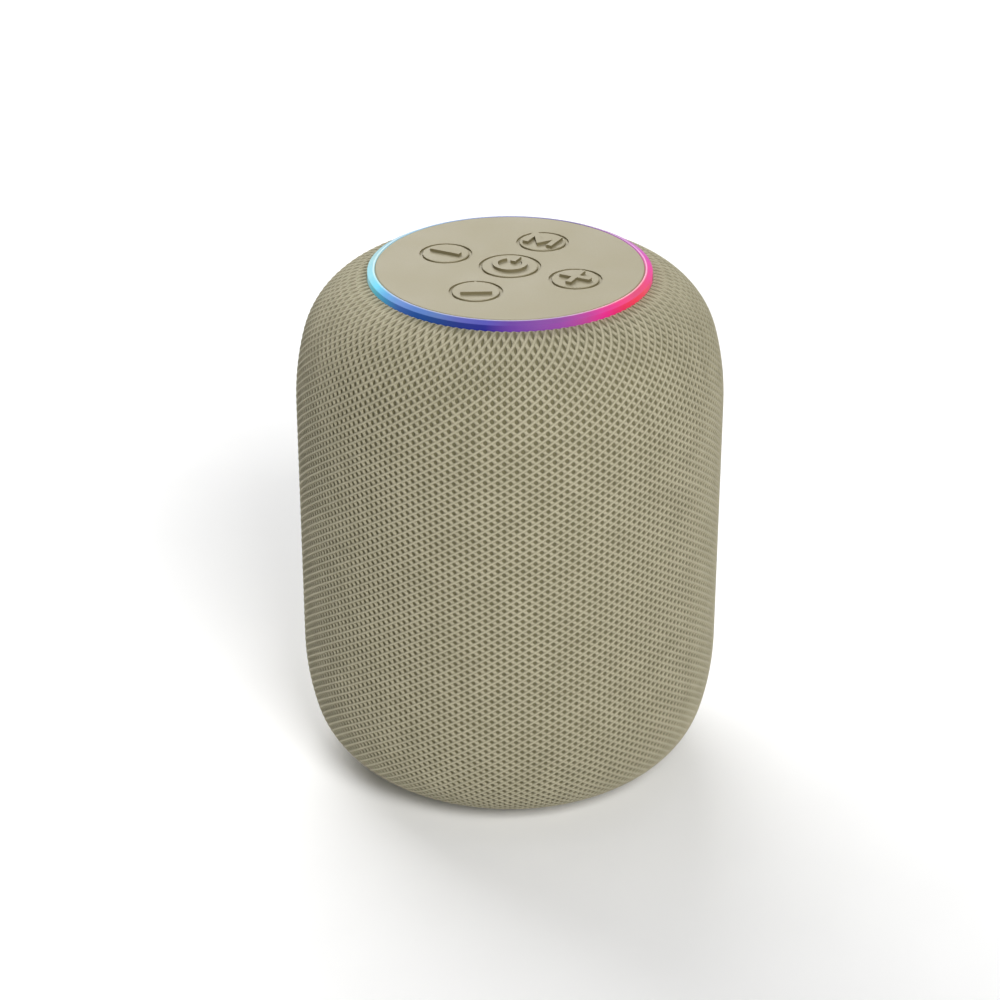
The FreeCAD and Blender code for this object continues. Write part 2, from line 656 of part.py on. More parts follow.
def shell_upper():
    """Upper half of the cage, rebated inside to take the lap of the lower half."""
    body = new_body("shell_upper")
    wall_out, wall_in = "body_radius - shell_out", "body_radius - shell_in"
    rebate = "%s + (shell_wall + loose) / 2" % wall_in
    lap_top = "mid + lap_height + loose"
    revolve(body, "upper_turn", (wall_out, "mid"), (wall_out, "mid + wall_half"),
            *end_arcs("+", "shell_out", True), ("rim_radius", rim_height("+", "shell_in")),
            *end_arcs("+", "shell_in", False), (wall_in, lap_top), (rebate, lap_top), (rebate, "mid"))
    sound_slots(body, "upper_slot_low", "upper_slot_high")
    return keep(body, "shell_upper")


def shell_lower():
    """Lower half of the cage, with the lap that slips inside the upper half."""
    body = new_body("shell_lower")
    wall_out, wall_in = "body_radius - shell_out", "body_radius - shell_in"
    lap = "%s + (shell_wall - loose) / 2" % wall_in
    revolve(body, "lower_turn", ("rim_radius", rim_height("-", "shell_out")),
            *end_arcs("-", "shell_out", False), (wall_out, "mid - loose"), (lap, "mid - loose"),
            (lap, "mid + lap_height"), (wall_in, "mid + lap_height"), (wall_in, "mid - wall_half"),
            *end_arcs("-", "shell_in", True))
    sound_slots(body, "lower_slot_low", "lower_slot_high")
    port_window(body)
    return keep(body, "shell_lower")


# ---------------------------------------------------------------- ring, plate and keys

def light_ring():
    """The lit ring: an upright outer wall, a bevel up to the plate and a foot over the leds."""
    return turned("light_ring", ("ring_foot_in", "ring_low"), ("ring_out", "ring_low"),
                  ("ring_out", "sleeve_top + ring_wall_rise"), ("ring_in + ring_crest", "plate_top"),
                  ("ring_in", "plate_top"), ("ring_in", "ring_foot_top"),
                  ("ring_foot_in", "ring_foot_top"))


def top_plate():
    body = new_body("top_plate", turn="key_turn")
    rib_low = "ring_foot_top + seat"
    revolve(body, "plate_turn", ("0", "plate_low"), ("rib_radius - rib_wall", "plate_low"),
            ("rib_radius - rib_wall", rib_low), ("rib_radius", rib_low), ("rib_radius", "plate_low"),
            ("plate_radius", "plate_low"), ("plate_radius", "plate_top - plate_edge"),
            ("plate_radius - plate_edge", "plate_top"), ("0", "plate_top"))
    boss_ring(body, "plate_boss", "boss_circle", "boss_radius", "floor_top + seat", "plate_low", "4", "45")
    holes(body, "plate_pilot", "boss_circle", "board_screw_radius + screw_bite", "floor_top",
          "plate_low", "4", "45")
    holes(body, "key_holes", "key_pitch", "key_hole", "plate_low - overcut", "plate_top", "4")
    hole_at(body, "power_hole_cut", "power_hole", "plate_low - overcut", "plate_top")
    under_lip = "plate_top - lip_thick"
    holes(body, "key_seats", "key_pitch", "key_hole + key_flange + play", "plate_low - overcut",
          under_lip, "4")
    hole_at(body, "power_seat", "power_hole + key_flange + play", "plate_low - overcut", under_lip)
    return keep(body, "top_plate")


def bar_outline(sketch, length, stroke):
    long, short = "(%s) / 2" % length, "(%s) / 2" % stroke
    return outline(sketch, ("0 - " + long, "0 - " + short), (long, "0 - " + short), (long, short),
                   ("0 - " + long, short))


def minus_sign(sketch):
    bar_outline(sketch, "sign_length", "sign_stroke")


def plus_sign(sketch):
    """A cross, walked round its twelve corners."""
    far, near = "sign_length / 2", "sign_stroke / 2"
    corners = []
    for x_far, y_far in ((1, 1), (-1, 1), (-1, -1), (1, -1)):
        arms = [(far, near), (near, near), (near, far)]
        if x_far * y_far < 0:
            arms.reverse()
        corners += [("%d * (%s)" % (x_far, a), "%d * (%s)" % (y_far, b)) for a, b in arms]
    outline(sketch, *corners)


def mode_sign(sketch):
    """The letter M: two uprights joined by a V."""
    half, tall, bar = "sign_length / 2", "sign_height / 2", "sign_stroke"
    left = [("0 - %s" % half, "0 - " + tall), ("0 - %s" % half, tall), ("0 - %s + %s" % (half, bar), tall),
            ("0", "0 - %s / 4" % tall)]
    right = [("%s - %s" % (half, bar), tall), (half, tall), (half, "0 - " + tall),
             ("%s - %s" % (half, bar), "0 - " + tall), ("%s - %s" % (half, bar), tall + " / 5"),
             ("0", "0 - %s" % tall), ("0 - %s + %s" % (half, bar), tall + " / 5"),
             ("0 - %s + %s" % (half, bar), "0 - " + tall)]
    outline(sketch, *left, *right)


def play_sign(sketch):
    """A triangle that points along +X."""
    reach = "play_side * sqrt(3) / 2"
    outline(sketch, ("0 - %s / 3" % reach, "0 - play_side / 2"), ("%s * 2 / 3" % reach, "0"),
            ("0 - %s / 3" % reach, "play_side / 2"))


def open_ring(sketch, outer, inner, half_gap, centre=("0", "0"), way="y"):
    """A ring with a gap that faces +Y or +X."""
    across, along = ("sin", "cos") if way == "y" else ("cos", "sin")

    def spot(radius, side):
        x, y = "(%s) * %s(%s)" % (radius, across, half_gap), "(%s) * %s(%s)" % (radius, along, half_gap)
        if way == "y":
            return "%s %s %s" % (centre[0], side, x), "%s + %s" % (centre[1], y)
        return "%s + %s" % (centre[0], x), "%s %s %s" % (centre[1], side, y)

    first, last = ("-", "+") if way == "y" else ("+", "-")
    middle = spot("((%s) + (%s)) / 2" % (outer, inner), first)
    if way == "y":
        outer_end, inner_end = (None, spot(outer, last)[1]), (None, spot(inner, first)[1])
        signs = (1, -1)
    else:
        outer_end, inner_end = (spot(outer, last)[0], None), (spot(inner, first)[0], None)
        signs = (-1, 1)
    outline(sketch, middle, spot(outer, first), ("arc", centre, outer_end, signs[0], 1),
            spot(inner, last), ("arc", centre, inner_end, signs[1], -1))


def key(node, sign, radius, hole, spot):
    """A key: its cap, the flange that keeps it in the plate, its stem and its raised sign."""
    body = new_body(node, (spot[0], spot[1], "0"), "key_turn")
    cap_top = "plate_top + key_proud"
    edge = ("(%s) - key_edge" % radius, "%s - key_edge" % cap_top)
    flange = "(%s) + key_flange" % hole
    revolve(body, node + "_turn", ("0", "plunger_top"), ("stem_radius", "plunger_top"),
            ("stem_radius", "flange_low"), (flange, "flange_low"), (flange, "flange_top"),
            (radius, "flange_top"), (radius, edge[1]), ("arc", edge, (edge[0], None), 1, 1),
            ("0", cap_top))
    sketch = new_sketch(body, node + "_sign_outline", lift=cap_top)
    sign(sketch)
    pad(body, node + "_sign", sketch, "sign_rise")
    if sign is power_sign:
        tick = box_sketch(body, node + "_tick_outline", "power_sign_stroke", "power_tick",
                          ("0", "power_tick_place"), cap_top)
        pad(body, node + "_tick", tick, "sign_rise")
    return keep(body, node)


def power_sign(sketch):
    """The open ring of the power sign; its tick is a pad of its own."""
    open_ring(sketch, "power_sign_radius", "power_sign_radius - power_sign_stroke", "power_sign_gap")


def keys():
    """Five keys, each over the plunger of its own switch."""
    signs = (("plus", plus_sign), ("mode", mode_sign), ("minus", minus_sign), ("play", play_sign))
    for number, (name, sign) in enumerate(signs):
        turn = "(key_turn + %d)" % (90 * number)
        spot = ("key_pitch * cos%s" % turn, "key_pitch * sin%s" % turn)
        key(name + "_button", sign, "key_radius", "key_hole", spot)
        plunger(name + "_plunger", spot)
    key("power_button", power_sign, "power_radius", "power_hole", ("0", "0"))
    plunger("power_plunger", ("0", "0"))


def plunger(node, spot):
    item = cylinder(node, "plunger_radius", "plunger_sink + plunger_rise",
                    (spot[0], spot[1], "switch_top - plunger_sink"))
    return keep(item, node)


def tact_switches():
    """Switch bodies under the keys, each with a bore for its plunger."""
    body = new_body("tact_switches", turn="key_turn")
    bore = "plunger_radius + plunger_bore"
    bore_low = "switch_top - plunger_sink - key_travel - plunger_room"
    outer = pad(body, "switch", box_sketch(body, "switch_outline", "switch_side", "switch_side",
                                           ("key_pitch", "0"), "switch_low"), "switch_height")
    cut = hole_at(body, "switch_bore", bore, bore_low, "switch_top", ("key_pitch", "0"))
    ring_of(body, "switch_ring", [outer, cut], "4")
    pad(body, "middle_switch", box_sketch(body, "middle_outline", "switch_side", "switch_side",
                                          lift="switch_low"), "switch_height")
    hole_at(body, "middle_bore", bore, bore_low, "switch_top")
    return keep(body, "tact_switches")


def key_board():
    body = new_body("key_board")
    revolve(body, "key_board_turn", ("0", "key_board_low"), ("key_board_radius", "key_board_low"),
            ("key_board_radius", "switch_low"), ("0", "switch_low"))
    holes(body, "key_board_holes", "board_boss_circle", "board_screw_radius + screw_clear", "key_board_low",
          "switch_low", "3", "board_boss_turn")
    keep(body, "key_board")
    screws("key_board_screws", "board_boss_circle", "switch_low", "board_thick + board_screw_depth", "3",
           "board_boss_turn", False, "board_screw_radius", "board_screw_head", "board_screw_thick")


def led_ring():
    """The annular board under the ring and the leds on it."""
    tube("led_board", "led_board_in", "led_board_out", "led_board_low", "led_low")
    body = new_body("leds")
    sketch = box_sketch(body, "led_outline", "led_side", "led_side", ("led_circle", "0"), "led_low")
    led = pad(body, "led", sketch, "led_height")
    ring_of(body, "led_ring", [led], "led_count")
    keep(body, "leds")


def top_chassis():
    """The cup that carries plate, ring and boards, on posts that stand on the upper baffle."""
    body = new_body("top_chassis")
    wall = "rim_radius - play"
    wall_in = "%s - chassis_wall" % wall
    ledge = "led_board_out - led_ledge"
    revolve(body, "chassis_turn", ("0", "floor_low"), ("chassis_flange", "floor_low"),
            ("chassis_flange", "floor_top"), (wall, "floor_top"), (wall, "chassis_top"),
            (wall_in, "chassis_top"), (wall_in, "led_board_low"), (ledge, "led_board_low"),
            (ledge, "floor_top"), ("0", "floor_top"))
    boss_ring(body, "board_boss", "board_boss_circle", "boss_radius", "floor_top", "key_board_low", "3",
              "board_boss_turn")
    holes(body, "board_pilot", "board_boss_circle", "board_screw_radius + screw_bite",
          "key_board_low - board_screw_depth - board_screw_end", "key_board_low", "3", "board_boss_turn")
    holes(body, "plate_screw_holes", "boss_circle", "board_screw_radius + screw_clear", "floor_low",
          "floor_top", "4", "key_turn + 45")
    boss_ring(body, "chassis_post", "chassis_post_circle", "post_radius", "upper_baffle_top", "floor_low",
              "3", "0")
    holes(body, "chassis_post_pilot", "chassis_post_circle", "screw_radius + screw_bite", "upper_baffle_top",
          "upper_baffle_top + chassis_screw_depth + screw_end", "3", "0")
    slot = box_sketch(body, "ribbon_slot_outline", "ribbon_width + 2 * ribbon_side", "ribbon_slot",
                      ("0", "ribbon_drop_y"), "floor_top")
    pocket(body, "ribbon_slot", slot, "chassis_floor")
    keep(body, "top_chassis")
    screws("plate_screws", "boss_circle", "floor_low", "chassis_floor + plate_screw_depth", "4",
           "key_turn + 45", True, "board_screw_radius", "board_screw_head", "board_screw_thick")
    screws("chassis_screws", "chassis_post_circle", "upper_baffle_low",
           "baffle_thick + chassis_screw_depth", "3", "0")


# ---------------------------------------------------------------- frame of the body

def baffle(node, low, high, opening, radius):
    """A disc right across the body, with the frame's screw holes."""
    body = new_body(node)
    revolve(body, node + "_turn", (opening, low), (radius, low), (radius, high), (opening, high))
    holes(body, node + "_screw_holes", "post_circle", "screw_radius + screw_clear", low, high, "3", "30")
    return body


def frame():
    """Two baffles, held apart by posts, and the deflector on posts below them."""
    lower = baffle("lower_baffle", "lower_baffle_lift", "baffle_top", "driver_cutout",
                   "lower_core_radius")
    holes(lower, "driver_pilot", "driver_screw_circle", "board_screw_radius + screw_bite",
          "lower_baffle_lift", "baffle_top", "4", "45")
    keep(lower, "lower_baffle")
    upper = baffle("upper_baffle", "upper_baffle_low", "upper_baffle_top", "radiator_opening",
                   "upper_core_radius")
    holes(upper, "chassis_screw_holes", "chassis_post_circle", "screw_radius + screw_clear",
          "upper_baffle_low", "upper_baffle_top", "3", "0")
    slot = box_sketch(upper, "ribbon_gate_outline", "ribbon_width + 2 * ribbon_side", "ribbon_gate",
                      ("0", "ribbon_board_y"), "upper_baffle_top")
    pocket(upper, "ribbon_gate", slot, "baffle_thick")
    keep(upper, "upper_baffle")
    tube("enclosure_tube", "tube_radius - tube_wall", "tube_radius", "tube_low", "tube_high")
    gaskets = new_body("enclosure_gaskets")
    for name, low, high in (("lower", "baffle_top", "tube_low"),
                            ("upper", "tube_high", "upper_baffle_low")):
        revolve(gaskets, name + "_gasket", ("tube_radius - tube_wall + loose", low),
                ("tube_radius - loose", low), ("tube_radius - loose", high),
                ("tube_radius - tube_wall + loose", high))
    keep(gaskets, "enclosure_gaskets")
    tie_posts()
    deflector()
    screws("upper_screws", "post_circle", "upper_baffle_top", "baffle_thick + screw_depth", "3", "30", False)
    screws("lower_screws", "post_circle", "disc_low", "baffle_top + screw_depth - disc_low", "3", "30")


def tie_posts():
    body = new_body("tie_posts")
    boss_ring(body, "tie_post", "post_circle", "post_radius", "baffle_top", "upper_baffle_low", "3", "30")
    pilot = "screw_radius + screw_bite"
    holes(body, "tie_low", "post_circle", pilot, "baffle_top", "baffle_top + screw_depth + screw_end",
          "3", "30")
    holes(body, "tie_high", "post_circle", pilot, "upper_baffle_low - screw_depth - screw_end",
          "upper_baffle_low", "3", "30")
    return keep(body, "tie_posts")


def deflector():
    """The cone that turns the sound of the driver out through the lower slots."""
    body = new_body("deflector")
    tip = "disc_top + deflector_rise"
    revolve(body, "deflector_turn", ("0", "disc_low"), ("deflector_base", "disc_low"),
            ("deflector_base", "disc_top"), ("deflector_foot", "disc_top"), ("deflector_tip", tip),
            ("0", tip))
    boss_ring(body, "deflector_post", "post_circle", "post_radius", "disc_top", "lower_baffle_lift", "3",
              "30")
    holes(body, "deflector_screw_holes", "post_circle", "screw_radius + screw_clear", "disc_low",
          "lower_baffle_lift", "3", "30")
    holes(body, "base_pilot", "base_screw_circle", "screw_radius + screw_bite", "disc_low",
          "disc_low + base_screw_depth + screw_end", "4", "45")
    return keep(body, "deflector")


def base():
    """Base cover with its sunk screws, and the rubber foot let into it."""
    body = new_body("base_cover")
    rim = "rim_radius - play"
    revolve(body, "cover_turn", ("0", "cover_low"), (rim, "cover_low"), (rim, "cover_top + cover_rim"),
            (rim + " - cover_thick", "cover_top + cover_rim"), (rim + " - cover_thick", "cover_top"),
            ("0", "cover_top"))
    sketch = new_sketch(body, "foot_groove_outline", "XZ_Plane")
    groove_in, groove_out, groove_top = "foot_inner - loose", "foot_outer + loose", "cover_low + foot_sink"
    outline(sketch, (groove_in, "cover_low"), (groove_out, "cover_low"), (groove_out, groove_top),
            (groove_in, groove_top))
    doc.recompute()
    groove = feature(body, "Groove", "foot_groove", sketch)
    groove.ReferenceAxis = (sketch, ["V_Axis"])
    groove.Angle = 360
    boss_ring(body, "base_boss", "base_screw_circle", "base_boss_radius", "cover_top", "disc_low", "4",
              "45")
    seat = "disc_low - base_boss_floor"
    holes(body, "base_head_holes", "base_screw_circle", "screw_head + head_clear", "cover_low", seat,
          "4", "45")
    holes(body, "base_shank_holes", "base_screw_circle", "screw_radius + screw_clear", seat,
          "disc_low", "4", "45")
    keep(body, "base_cover")
    screws("base_screws", "base_screw_circle", seat, "base_boss_floor + base_screw_depth", "4", "45")
    tube("foot_ring", "foot_inner", "foot_outer", "0", "cover_low + foot_sink")


# ---------------------------------------------------------------- driver and passive radiator

def driver():
    """A small full-range driver that faces down, its flange under the lower baffle."""
    flange_top = "flange_face + flange_plate"
    inner = "surround_out - surround_seat"
    collar = "driver_cutout - play"
    back_low = "basket_back - basket_skin"
    bore = "coil_out + coil_gap"
    body = new_body("driver_basket")
    revolve(body, "basket_turn", (inner, "flange_face"), ("driver_flange", "flange_face"),
            ("driver_flange", flange_top), (collar, flange_top), (collar, "baffle_top"),
            ("basket_neck + basket_skin", "basket_back"), (bore + " + loose", "basket_back"),
            (bore + " + loose", back_low), ("basket_neck", back_low), (inner, "baffle_top"))
    holes(body, "driver_flange_holes", "driver_screw_circle", "board_screw_radius + screw_clear",
          "flange_face", flange_top, "4", "45")
    keep(body, "driver_basket")
    body = new_body("driver_gasket")
    revolve(body, "gasket_turn", (collar + " + play + loose", flange_top),
            ("driver_flange", flange_top), ("driver_flange", "lower_baffle_lift"),
            (collar + " + play + loose", "lower_baffle_lift"))
    holes(body, "driver_gasket_holes", "driver_screw_circle", "board_screw_radius + screw_clear", flange_top,
          "lower_baffle_lift", "4", "45")
    keep(body, "driver_gasket")
    screws("driver_screws", "driver_screw_circle", "flange_face",
           "flange_plate + gasket_thick + baffle_thick - driver_screw_short", "4", "45", True,
           "board_screw_radius", "driver_screw_head", "board_screw_thick")
    tube("driver_washer", bore, "magnet_radius - magnet_inset", "basket_back", "washer_top")
    tube("driver_magnet", bore + " + magnet_bore", "magnet_radius", "washer_top", "magnet_top")
    turned("driver_yoke", ("0", "basket_back"), ("pole_radius", "basket_back"),
           ("pole_radius", "magnet_top"), ("magnet_radius - magnet_inset", "magnet_top"),
           ("magnet_radius - magnet_inset", "magnet_top + yoke_thick"), ("0", "magnet_top + yoke_thick"))
    turned("driver_cone", ("cone_radius", "cone_low"), ("cone_radius", "cone_low + cone_skin"),
           ("coil_in", "cone_neck + cone_skin"), ("coil_in", "cone_neck"))
    tube("voice_coil", "coil_in", "coil_out", "cone_neck + cone_skin", "washer_top + coil_overhang")
    dust_cap()
    half_roll("driver_surround", "cone_radius + loose", "surround_out", "flange_face - surround_skin / 2",
              -1)
    tube("driver_spider", "coil_out + spider_gap", "basket_neck + spider_grip", "basket_back - spider_drop",
         "basket_back - spider_drop + spider_thick")


def dust_cap():
    """The dome over the neck of the cone, bulging down."""
    edge, tip = "coil_out + dust_cap_margin", "cone_neck - dust_cap_drop"
    centre = ("0", "%s + dust_cap_sphere" % tip)
    inner_height = "%s + dust_cap_sphere - sqrt((dust_cap_sphere - dust_cap_skin)^2 - (%s)^2)" % (tip, edge)
    turned("dust_cap", ("0", tip), ("arc", centre, (edge, None), -1, 1), (edge, inner_height),
           ("arc", centre, ("0", None), -1, -1))


def half_roll(node, inner, outer, level, way):
    """A rubber ring whose section is a half roll, up or down, between two flat edges."""
    middle = "((%s) + (%s)) / 2" % (inner, outer)
    roll = "((%s) - (%s)) / 2 - surround_edge" % (outer, inner)
    top, low = "%s + surround_skin / 2" % level, "%s - surround_skin / 2" % level
    near, far = (low, top) if way > 0 else (top, low)
    body = new_body(node)
    revolve(body, node + "_turn", (inner, near), ("%s - (%s)" % (middle, roll), near),
            ("arc", (middle, near), (None, near), 1, -way), (outer, near), (outer, far),
            ("%s + (%s) + surround_skin" % (middle, roll), far),
            ("arc", (middle, far), (None, far), -1, way), (inner, far))
    return keep(body, node)


def passive_radiator():
    """A weighted diaphragm over the upper end of the enclosure."""
    low = "upper_baffle_top"
    tube("radiator_frame", "radiator_opening", "radiator_out", low, low + " + radiator_thick")
    disc("radiator_diaphragm", "radiator_disc", low, low + " + radiator_thick")
    half_roll("radiator_surround", "radiator_disc + loose", "radiator_out - radiator_margin",
              low + " + radiator_thick + surround_skin / 2", 1)


# ---------------------------------------------------------------- power, boards and ports

def battery():
    """Two cells beside the enclosure, each in two clips, with their leads round to the board."""
    cell_x, cell_y = "cell_circle * sin(cell_spread)", "0 - cell_circle * cos(cell_spread)"
    cells = []
    for name, side in (("left", "0 - "), ("right", "")):
        cells.append(cylinder(name + "_cell", "cell_radius", "cell_length",
                              (side + cell_x, cell_y, "baffle_top + cell_end_gap")))
    group("battery_cells", cells)
    body = new_body("battery_clips")
    inner = "cell_radius + clip_gap"
    clips = []
    for name, low in (("low", "baffle_top + clip_place"),
                      ("high", "upper_baffle_low - clip_place - clip_height")):
        sketch = new_sketch(body, name + "_clip_outline", lift=low)
        open_ring(sketch, inner + " + clip_wall", inner, "clip_mouth", (cell_x, cell_y), "x")
        clips.append(pad(body, name + "_clip", sketch, "clip_height"))
    mirror(body, "other_clips", clips)
    keep(body, "battery_clips")
    battery_leads()


def mirror(body, name, originals):
    """Repeat features on the other side of the YZ plane."""
    doc.recompute()
    item = body.newObject("PartDesign::Mirrored", name)
    item.Originals = originals
    item.MirrorPlane = (origin_item(body, "YZ_Plane"), [""])
    body.Tip = item
    doc.recompute()
    return item


def battery_leads():
    """A pair of leads on each side, laid in an arc from the cell to the edge of the main board."""
    leads = []
    start = "cell_spread - 90 + cell_reach"
    board_edge = "atan(main_board_front / (main_board_width / 2)) / 1 deg"
    sweep = "90 - cell_spread - cell_reach + %s - lead_margin" % board_edge
    for side in ("right", "left"):
        for number in (0, 1):
            ring = doc.addObject("Part::Torus", "%s_lead_%d" % (side, number))
            tie(ring, "Radius1", "lead_circle")
            tie(ring, "Radius2", "lead_radius")
            tie(ring, "Angle3", sweep)
            turn = start if side == "right" else "180 - (%s) - (%s)" % (start, sweep)
            place(ring, ("0", "0", "lead_height + %d * 3 * lead_radius" % number), turn)
            leads.append(ring)
    group("battery_leads", leads)


def boards():
    """The upright main board with its parts, its brackets and the ribbon to the key board."""
    keep(box("main_board", ("0 - main_board_width / 2", "main_board_front", "main_board_low"),
             ("main_board_width", "board_thick", "main_board_high - main_board_low")), "main_board")
    parts = []
    middle = "(main_board_low + main_board_high) / 2"
    for name, side, x, z, thick in BOARD_PARTS:
        parts.append(box(name, ("%g" % x, "main_board_front - %g" % thick, "%s + %g" % (middle, z)),
                         ("%g" % side, "%g" % thick, "%g" % side)))
    group("board_parts", parts)
    body = new_body("board_brackets")
    sketch = new_sketch(body, "bracket_outline", "YZ_Plane", "bracket_place")
    foot_end, top = "main_board_front - bracket_foot", "main_board_low + bracket_rise"
    outline(sketch, (foot_end, "baffle_top"), ("main_board_front", "baffle_top"), ("main_board_front", top),
            ("main_board_front - bracket_thick", top),
            ("main_board_front - bracket_thick", "baffle_top + bracket_thick"),
            (foot_end, "baffle_top + bracket_thick"))
    bracket = pad(body, "bracket", sketch, "bracket_width")
    mirror(body, "other_bracket", [bracket])
    keep(body, "board_brackets")
    key_ribbon()
    microphones()


def key_ribbon():
    """The flat ribbon: out from under the key board, down, out in an S and down the main board."""
    body = new_body("key_ribbon")
    sketch = new_sketch(body, "ribbon_outline", "YZ_Plane")
    half, bend = "ribbon_thick / 2", "ribbon_bend"
    lay = "key_board_low - " + half
    start, turn = "key_board_radius - ribbon_start", "ribbon_drop_y - ribbon_bend"
    down = "%s - %s" % (lay, bend)
    shoulder = "floor_low - ribbon_hang"
    first, second = "ribbon_drop_y + " + bend, "ribbon_board_y - " + bend
    shelf, knee = "%s - %s" % (shoulder, bend), "%s - 2 * %s" % (shoulder, bend)
    end = "main_board_high - ribbon_overlap"
    outline(sketch, (start, "key_board_low"), (start, "key_board_low - ribbon_thick"),
            (turn, "key_board_low - ribbon_thick"), ("arc", (turn, down), (None, down), 1, -1),
            ("ribbon_drop_y - " + half, shoulder), ("arc", (first, shoulder), (first, None), -1, 1),
            (second, "%s - %s" % (shelf, half)), ("arc", (second, knee), (None, knee), 1, -1),
            ("ribbon_board_y - " + half, end), ("ribbon_board_y + " + half, end),
            ("ribbon_board_y + " + half, knee), ("arc", (second, knee), (second, None), 1, 1),
            (first, "%s + %s" % (shelf, half)), ("arc", (first, shoulder), (None, shoulder), -1, -1),
            ("ribbon_drop_y + " + half, down), ("arc", (turn, down), (turn, None), 1, 1))
    item = pad(body, "ribbon", sketch, "ribbon_width")
    item.Midplane = True
    return keep(body, "key_ribbon")


def microphones():
    """Two microphones on the key board, between the keys."""
    body = new_body("microphones", turn="key_turn + 45")
    sketch = box_sketch(body, "microphone_outline", "microphone_side", "microphone_side",
                        ("microphone_place", "0"), "switch_low")
    first = pad(body, "microphone", sketch, "microphone_height")
    ring_of(body, "microphone_ring", [first], "2")
    return keep(body, "microphones")


def back_sketch(body, name, reach):
    """A sketch on an upright plane towards +Y, at a distance from the axis."""
    return new_sketch(body, name, "XZ_Plane", "0 - (%s)" % reach)


def port_panel():
    """The panel round the sockets: its face follows the sleeve and its flange sits inside the cage."""
    body = new_body("port_panel")
    flange = "2 * port_flange"
    sketch = new_sketch(body, "panel_flange_outline", "XZ_Plane")
    rounded_box(sketch, "port_width + " + flange, "port_tall + " + flange, "port_corner")
    pad(body, "panel_flange", sketch, "body_radius", backward=True)
    beyond = "body_radius + port_width / 2"
    trim(body, "flange_face", "core_radius", beyond)
    sketch = new_sketch(body, "panel_outline", "XZ_Plane")
    rounded_box(sketch, "port_width", "port_tall", "port_corner")
    pad(body, "panel", sketch, "body_radius + overcut", backward=True)
    trim(body, "panel_face", "body_radius - port_inset", beyond)
    trim(body, "panel_back", "0", "body_radius - port_depth")
    for name, width, tall, place_x in (("usb", "usb_width", "usb_tall", "usb_place"),
                                       ("card", "card_width + 2 * card_wall", "card_tall", "card_place")):
        sketch = box_sketch(body, name + "_hole_outline", width + " + 2 * loose", tall + " + 2 * loose",
                            (place_x, "port_height"), plane="XZ_Plane")
        pocket(body, name + "_hole", sketch, "body_radius + overcut")
    sketch = circle_sketch(body, "aux_hole_outline", "aux_radius + loose", ("0", "port_height"),
                           plane="XZ_Plane")
    pocket(body, "aux_hole", sketch, "body_radius + overcut")
    return keep(body, "port_panel")


def trim(body, name, inner, outer):
    """Cut away everything between two radii about Z."""
    doc.recompute()
    sketch = new_sketch(body, name + "_outline", "XZ_Plane")
    outline(sketch, (inner, "port_height - port_tall"), (outer, "port_height - port_tall"),
            (outer, "port_height + port_tall"), (inner, "port_height + port_tall"))
    item = feature(body, "Groove", name, sketch)
    item.ReferenceAxis = (sketch, ["V_Axis"])
    item.Angle = 360
    return item


def sockets():
    """The sockets, on the back of the main board."""
    depth = "socket_mouth - main_board_back"
    body = new_body("usb_socket")
    sketch = back_sketch(body, "usb_outline", "main_board_back")
    rounded_box(sketch, "usb_width", "usb_tall", "usb_tall / 2 - usb_flat", "usb_place")
    pad(body, "usb_shell", sketch, depth, backward=True)
    sketch = back_sketch(body, "usb_bore_outline", "socket_mouth")
    bore_tall = "usb_tall - 2 * usb_wall"
    rounded_box(sketch, "usb_width - 2 * usb_wall", bore_tall, "(%s) / 2 - usb_flat" % bore_tall,
                "usb_place")
    pocket(body, "usb_bore", sketch, "usb_depth", backward=True)
    tongue = box_sketch(body, "usb_tongue_outline", "usb_tongue", "usb_tongue_thick",
                        ("usb_place", "port_height"), "0 - (socket_mouth - usb_depth)", "XZ_Plane")
    pad(body, "usb_tongue", tongue, "usb_depth - usb_tongue_short", backward=True)
    keep(body, "usb_socket")
    body = new_body("aux_socket")
    block_side = "2 * (aux_radius + aux_margin)"
    block = box_sketch(body, "aux_block_outline", block_side, block_side, ("0", "port_height"),
                       "0 - main_board_back", "XZ_Plane")
    pad(body, "aux_block", block, "aux_block_depth", backward=True)
    nose = circle_sketch(body, "aux_nose_outline", "aux_radius", ("0", "port_height"),
                         "0 - main_board_back", "XZ_Plane")
    pad(body, "aux_nose", nose, depth, backward=True)
    bore = circle_sketch(body, "aux_bore_outline", "aux_bore", ("0", "port_height"), "0 - socket_mouth",
                         "XZ_Plane")
    pocket(body, "aux_bore", bore, depth + " - aux_end", backward=True)
    keep(body, "aux_socket")
    body = new_body("card_socket")
    block = box_sketch(body, "card_outline", "card_width + 2 * card_wall", "card_tall",
                       ("card_place", "port_height"), "0 - main_board_back", "XZ_Plane")
    pad(body, "card_block", block, "card_mouth - main_board_back", backward=True)
    slot = box_sketch(body, "card_slot_outline", "card_width", "card_slot", ("card_place", "port_height"),
                      "0 - card_mouth", "XZ_Plane")
    pocket(body, "card_slot", slot, "card_mouth - main_board_back - card_wall", backward=True)
    keep(body, "card_socket")


# ---------------------------------------------------------------- build, check and write

fabric_sleeve()
shell_upper()
shell_lower()
light_ring()
top_plate()
keys()
tact_switches()
key_board()
led_ring()
top_chassis()
frame()
base()
driver()
passive_radiator()
battery()
boards()
port_panel()
sockets()
doc.recompute()

for item in doc.Objects:
    if "Invalid" in item.State or "Error" in item.State:
        raise ValueError("%s (%s) failed: %s" % (item.Name, item.Label, item.State))
for item in NODES:
    if item.Shape.isNull() or not item.Shape.isValid() or item.Shape.Volume <= 0:
        raise ValueError(item.Label + " has no valid shape")
for item in NODES:
    item.Shape.exportStep("parts/%s.step" % item.Label)
    print("%-20s %10.1f mm3  %d solid(s)" % (item.Label, item.Shape.Volume, len(item.Shape.Solids)))
print(len(NODES), "sub-parts")
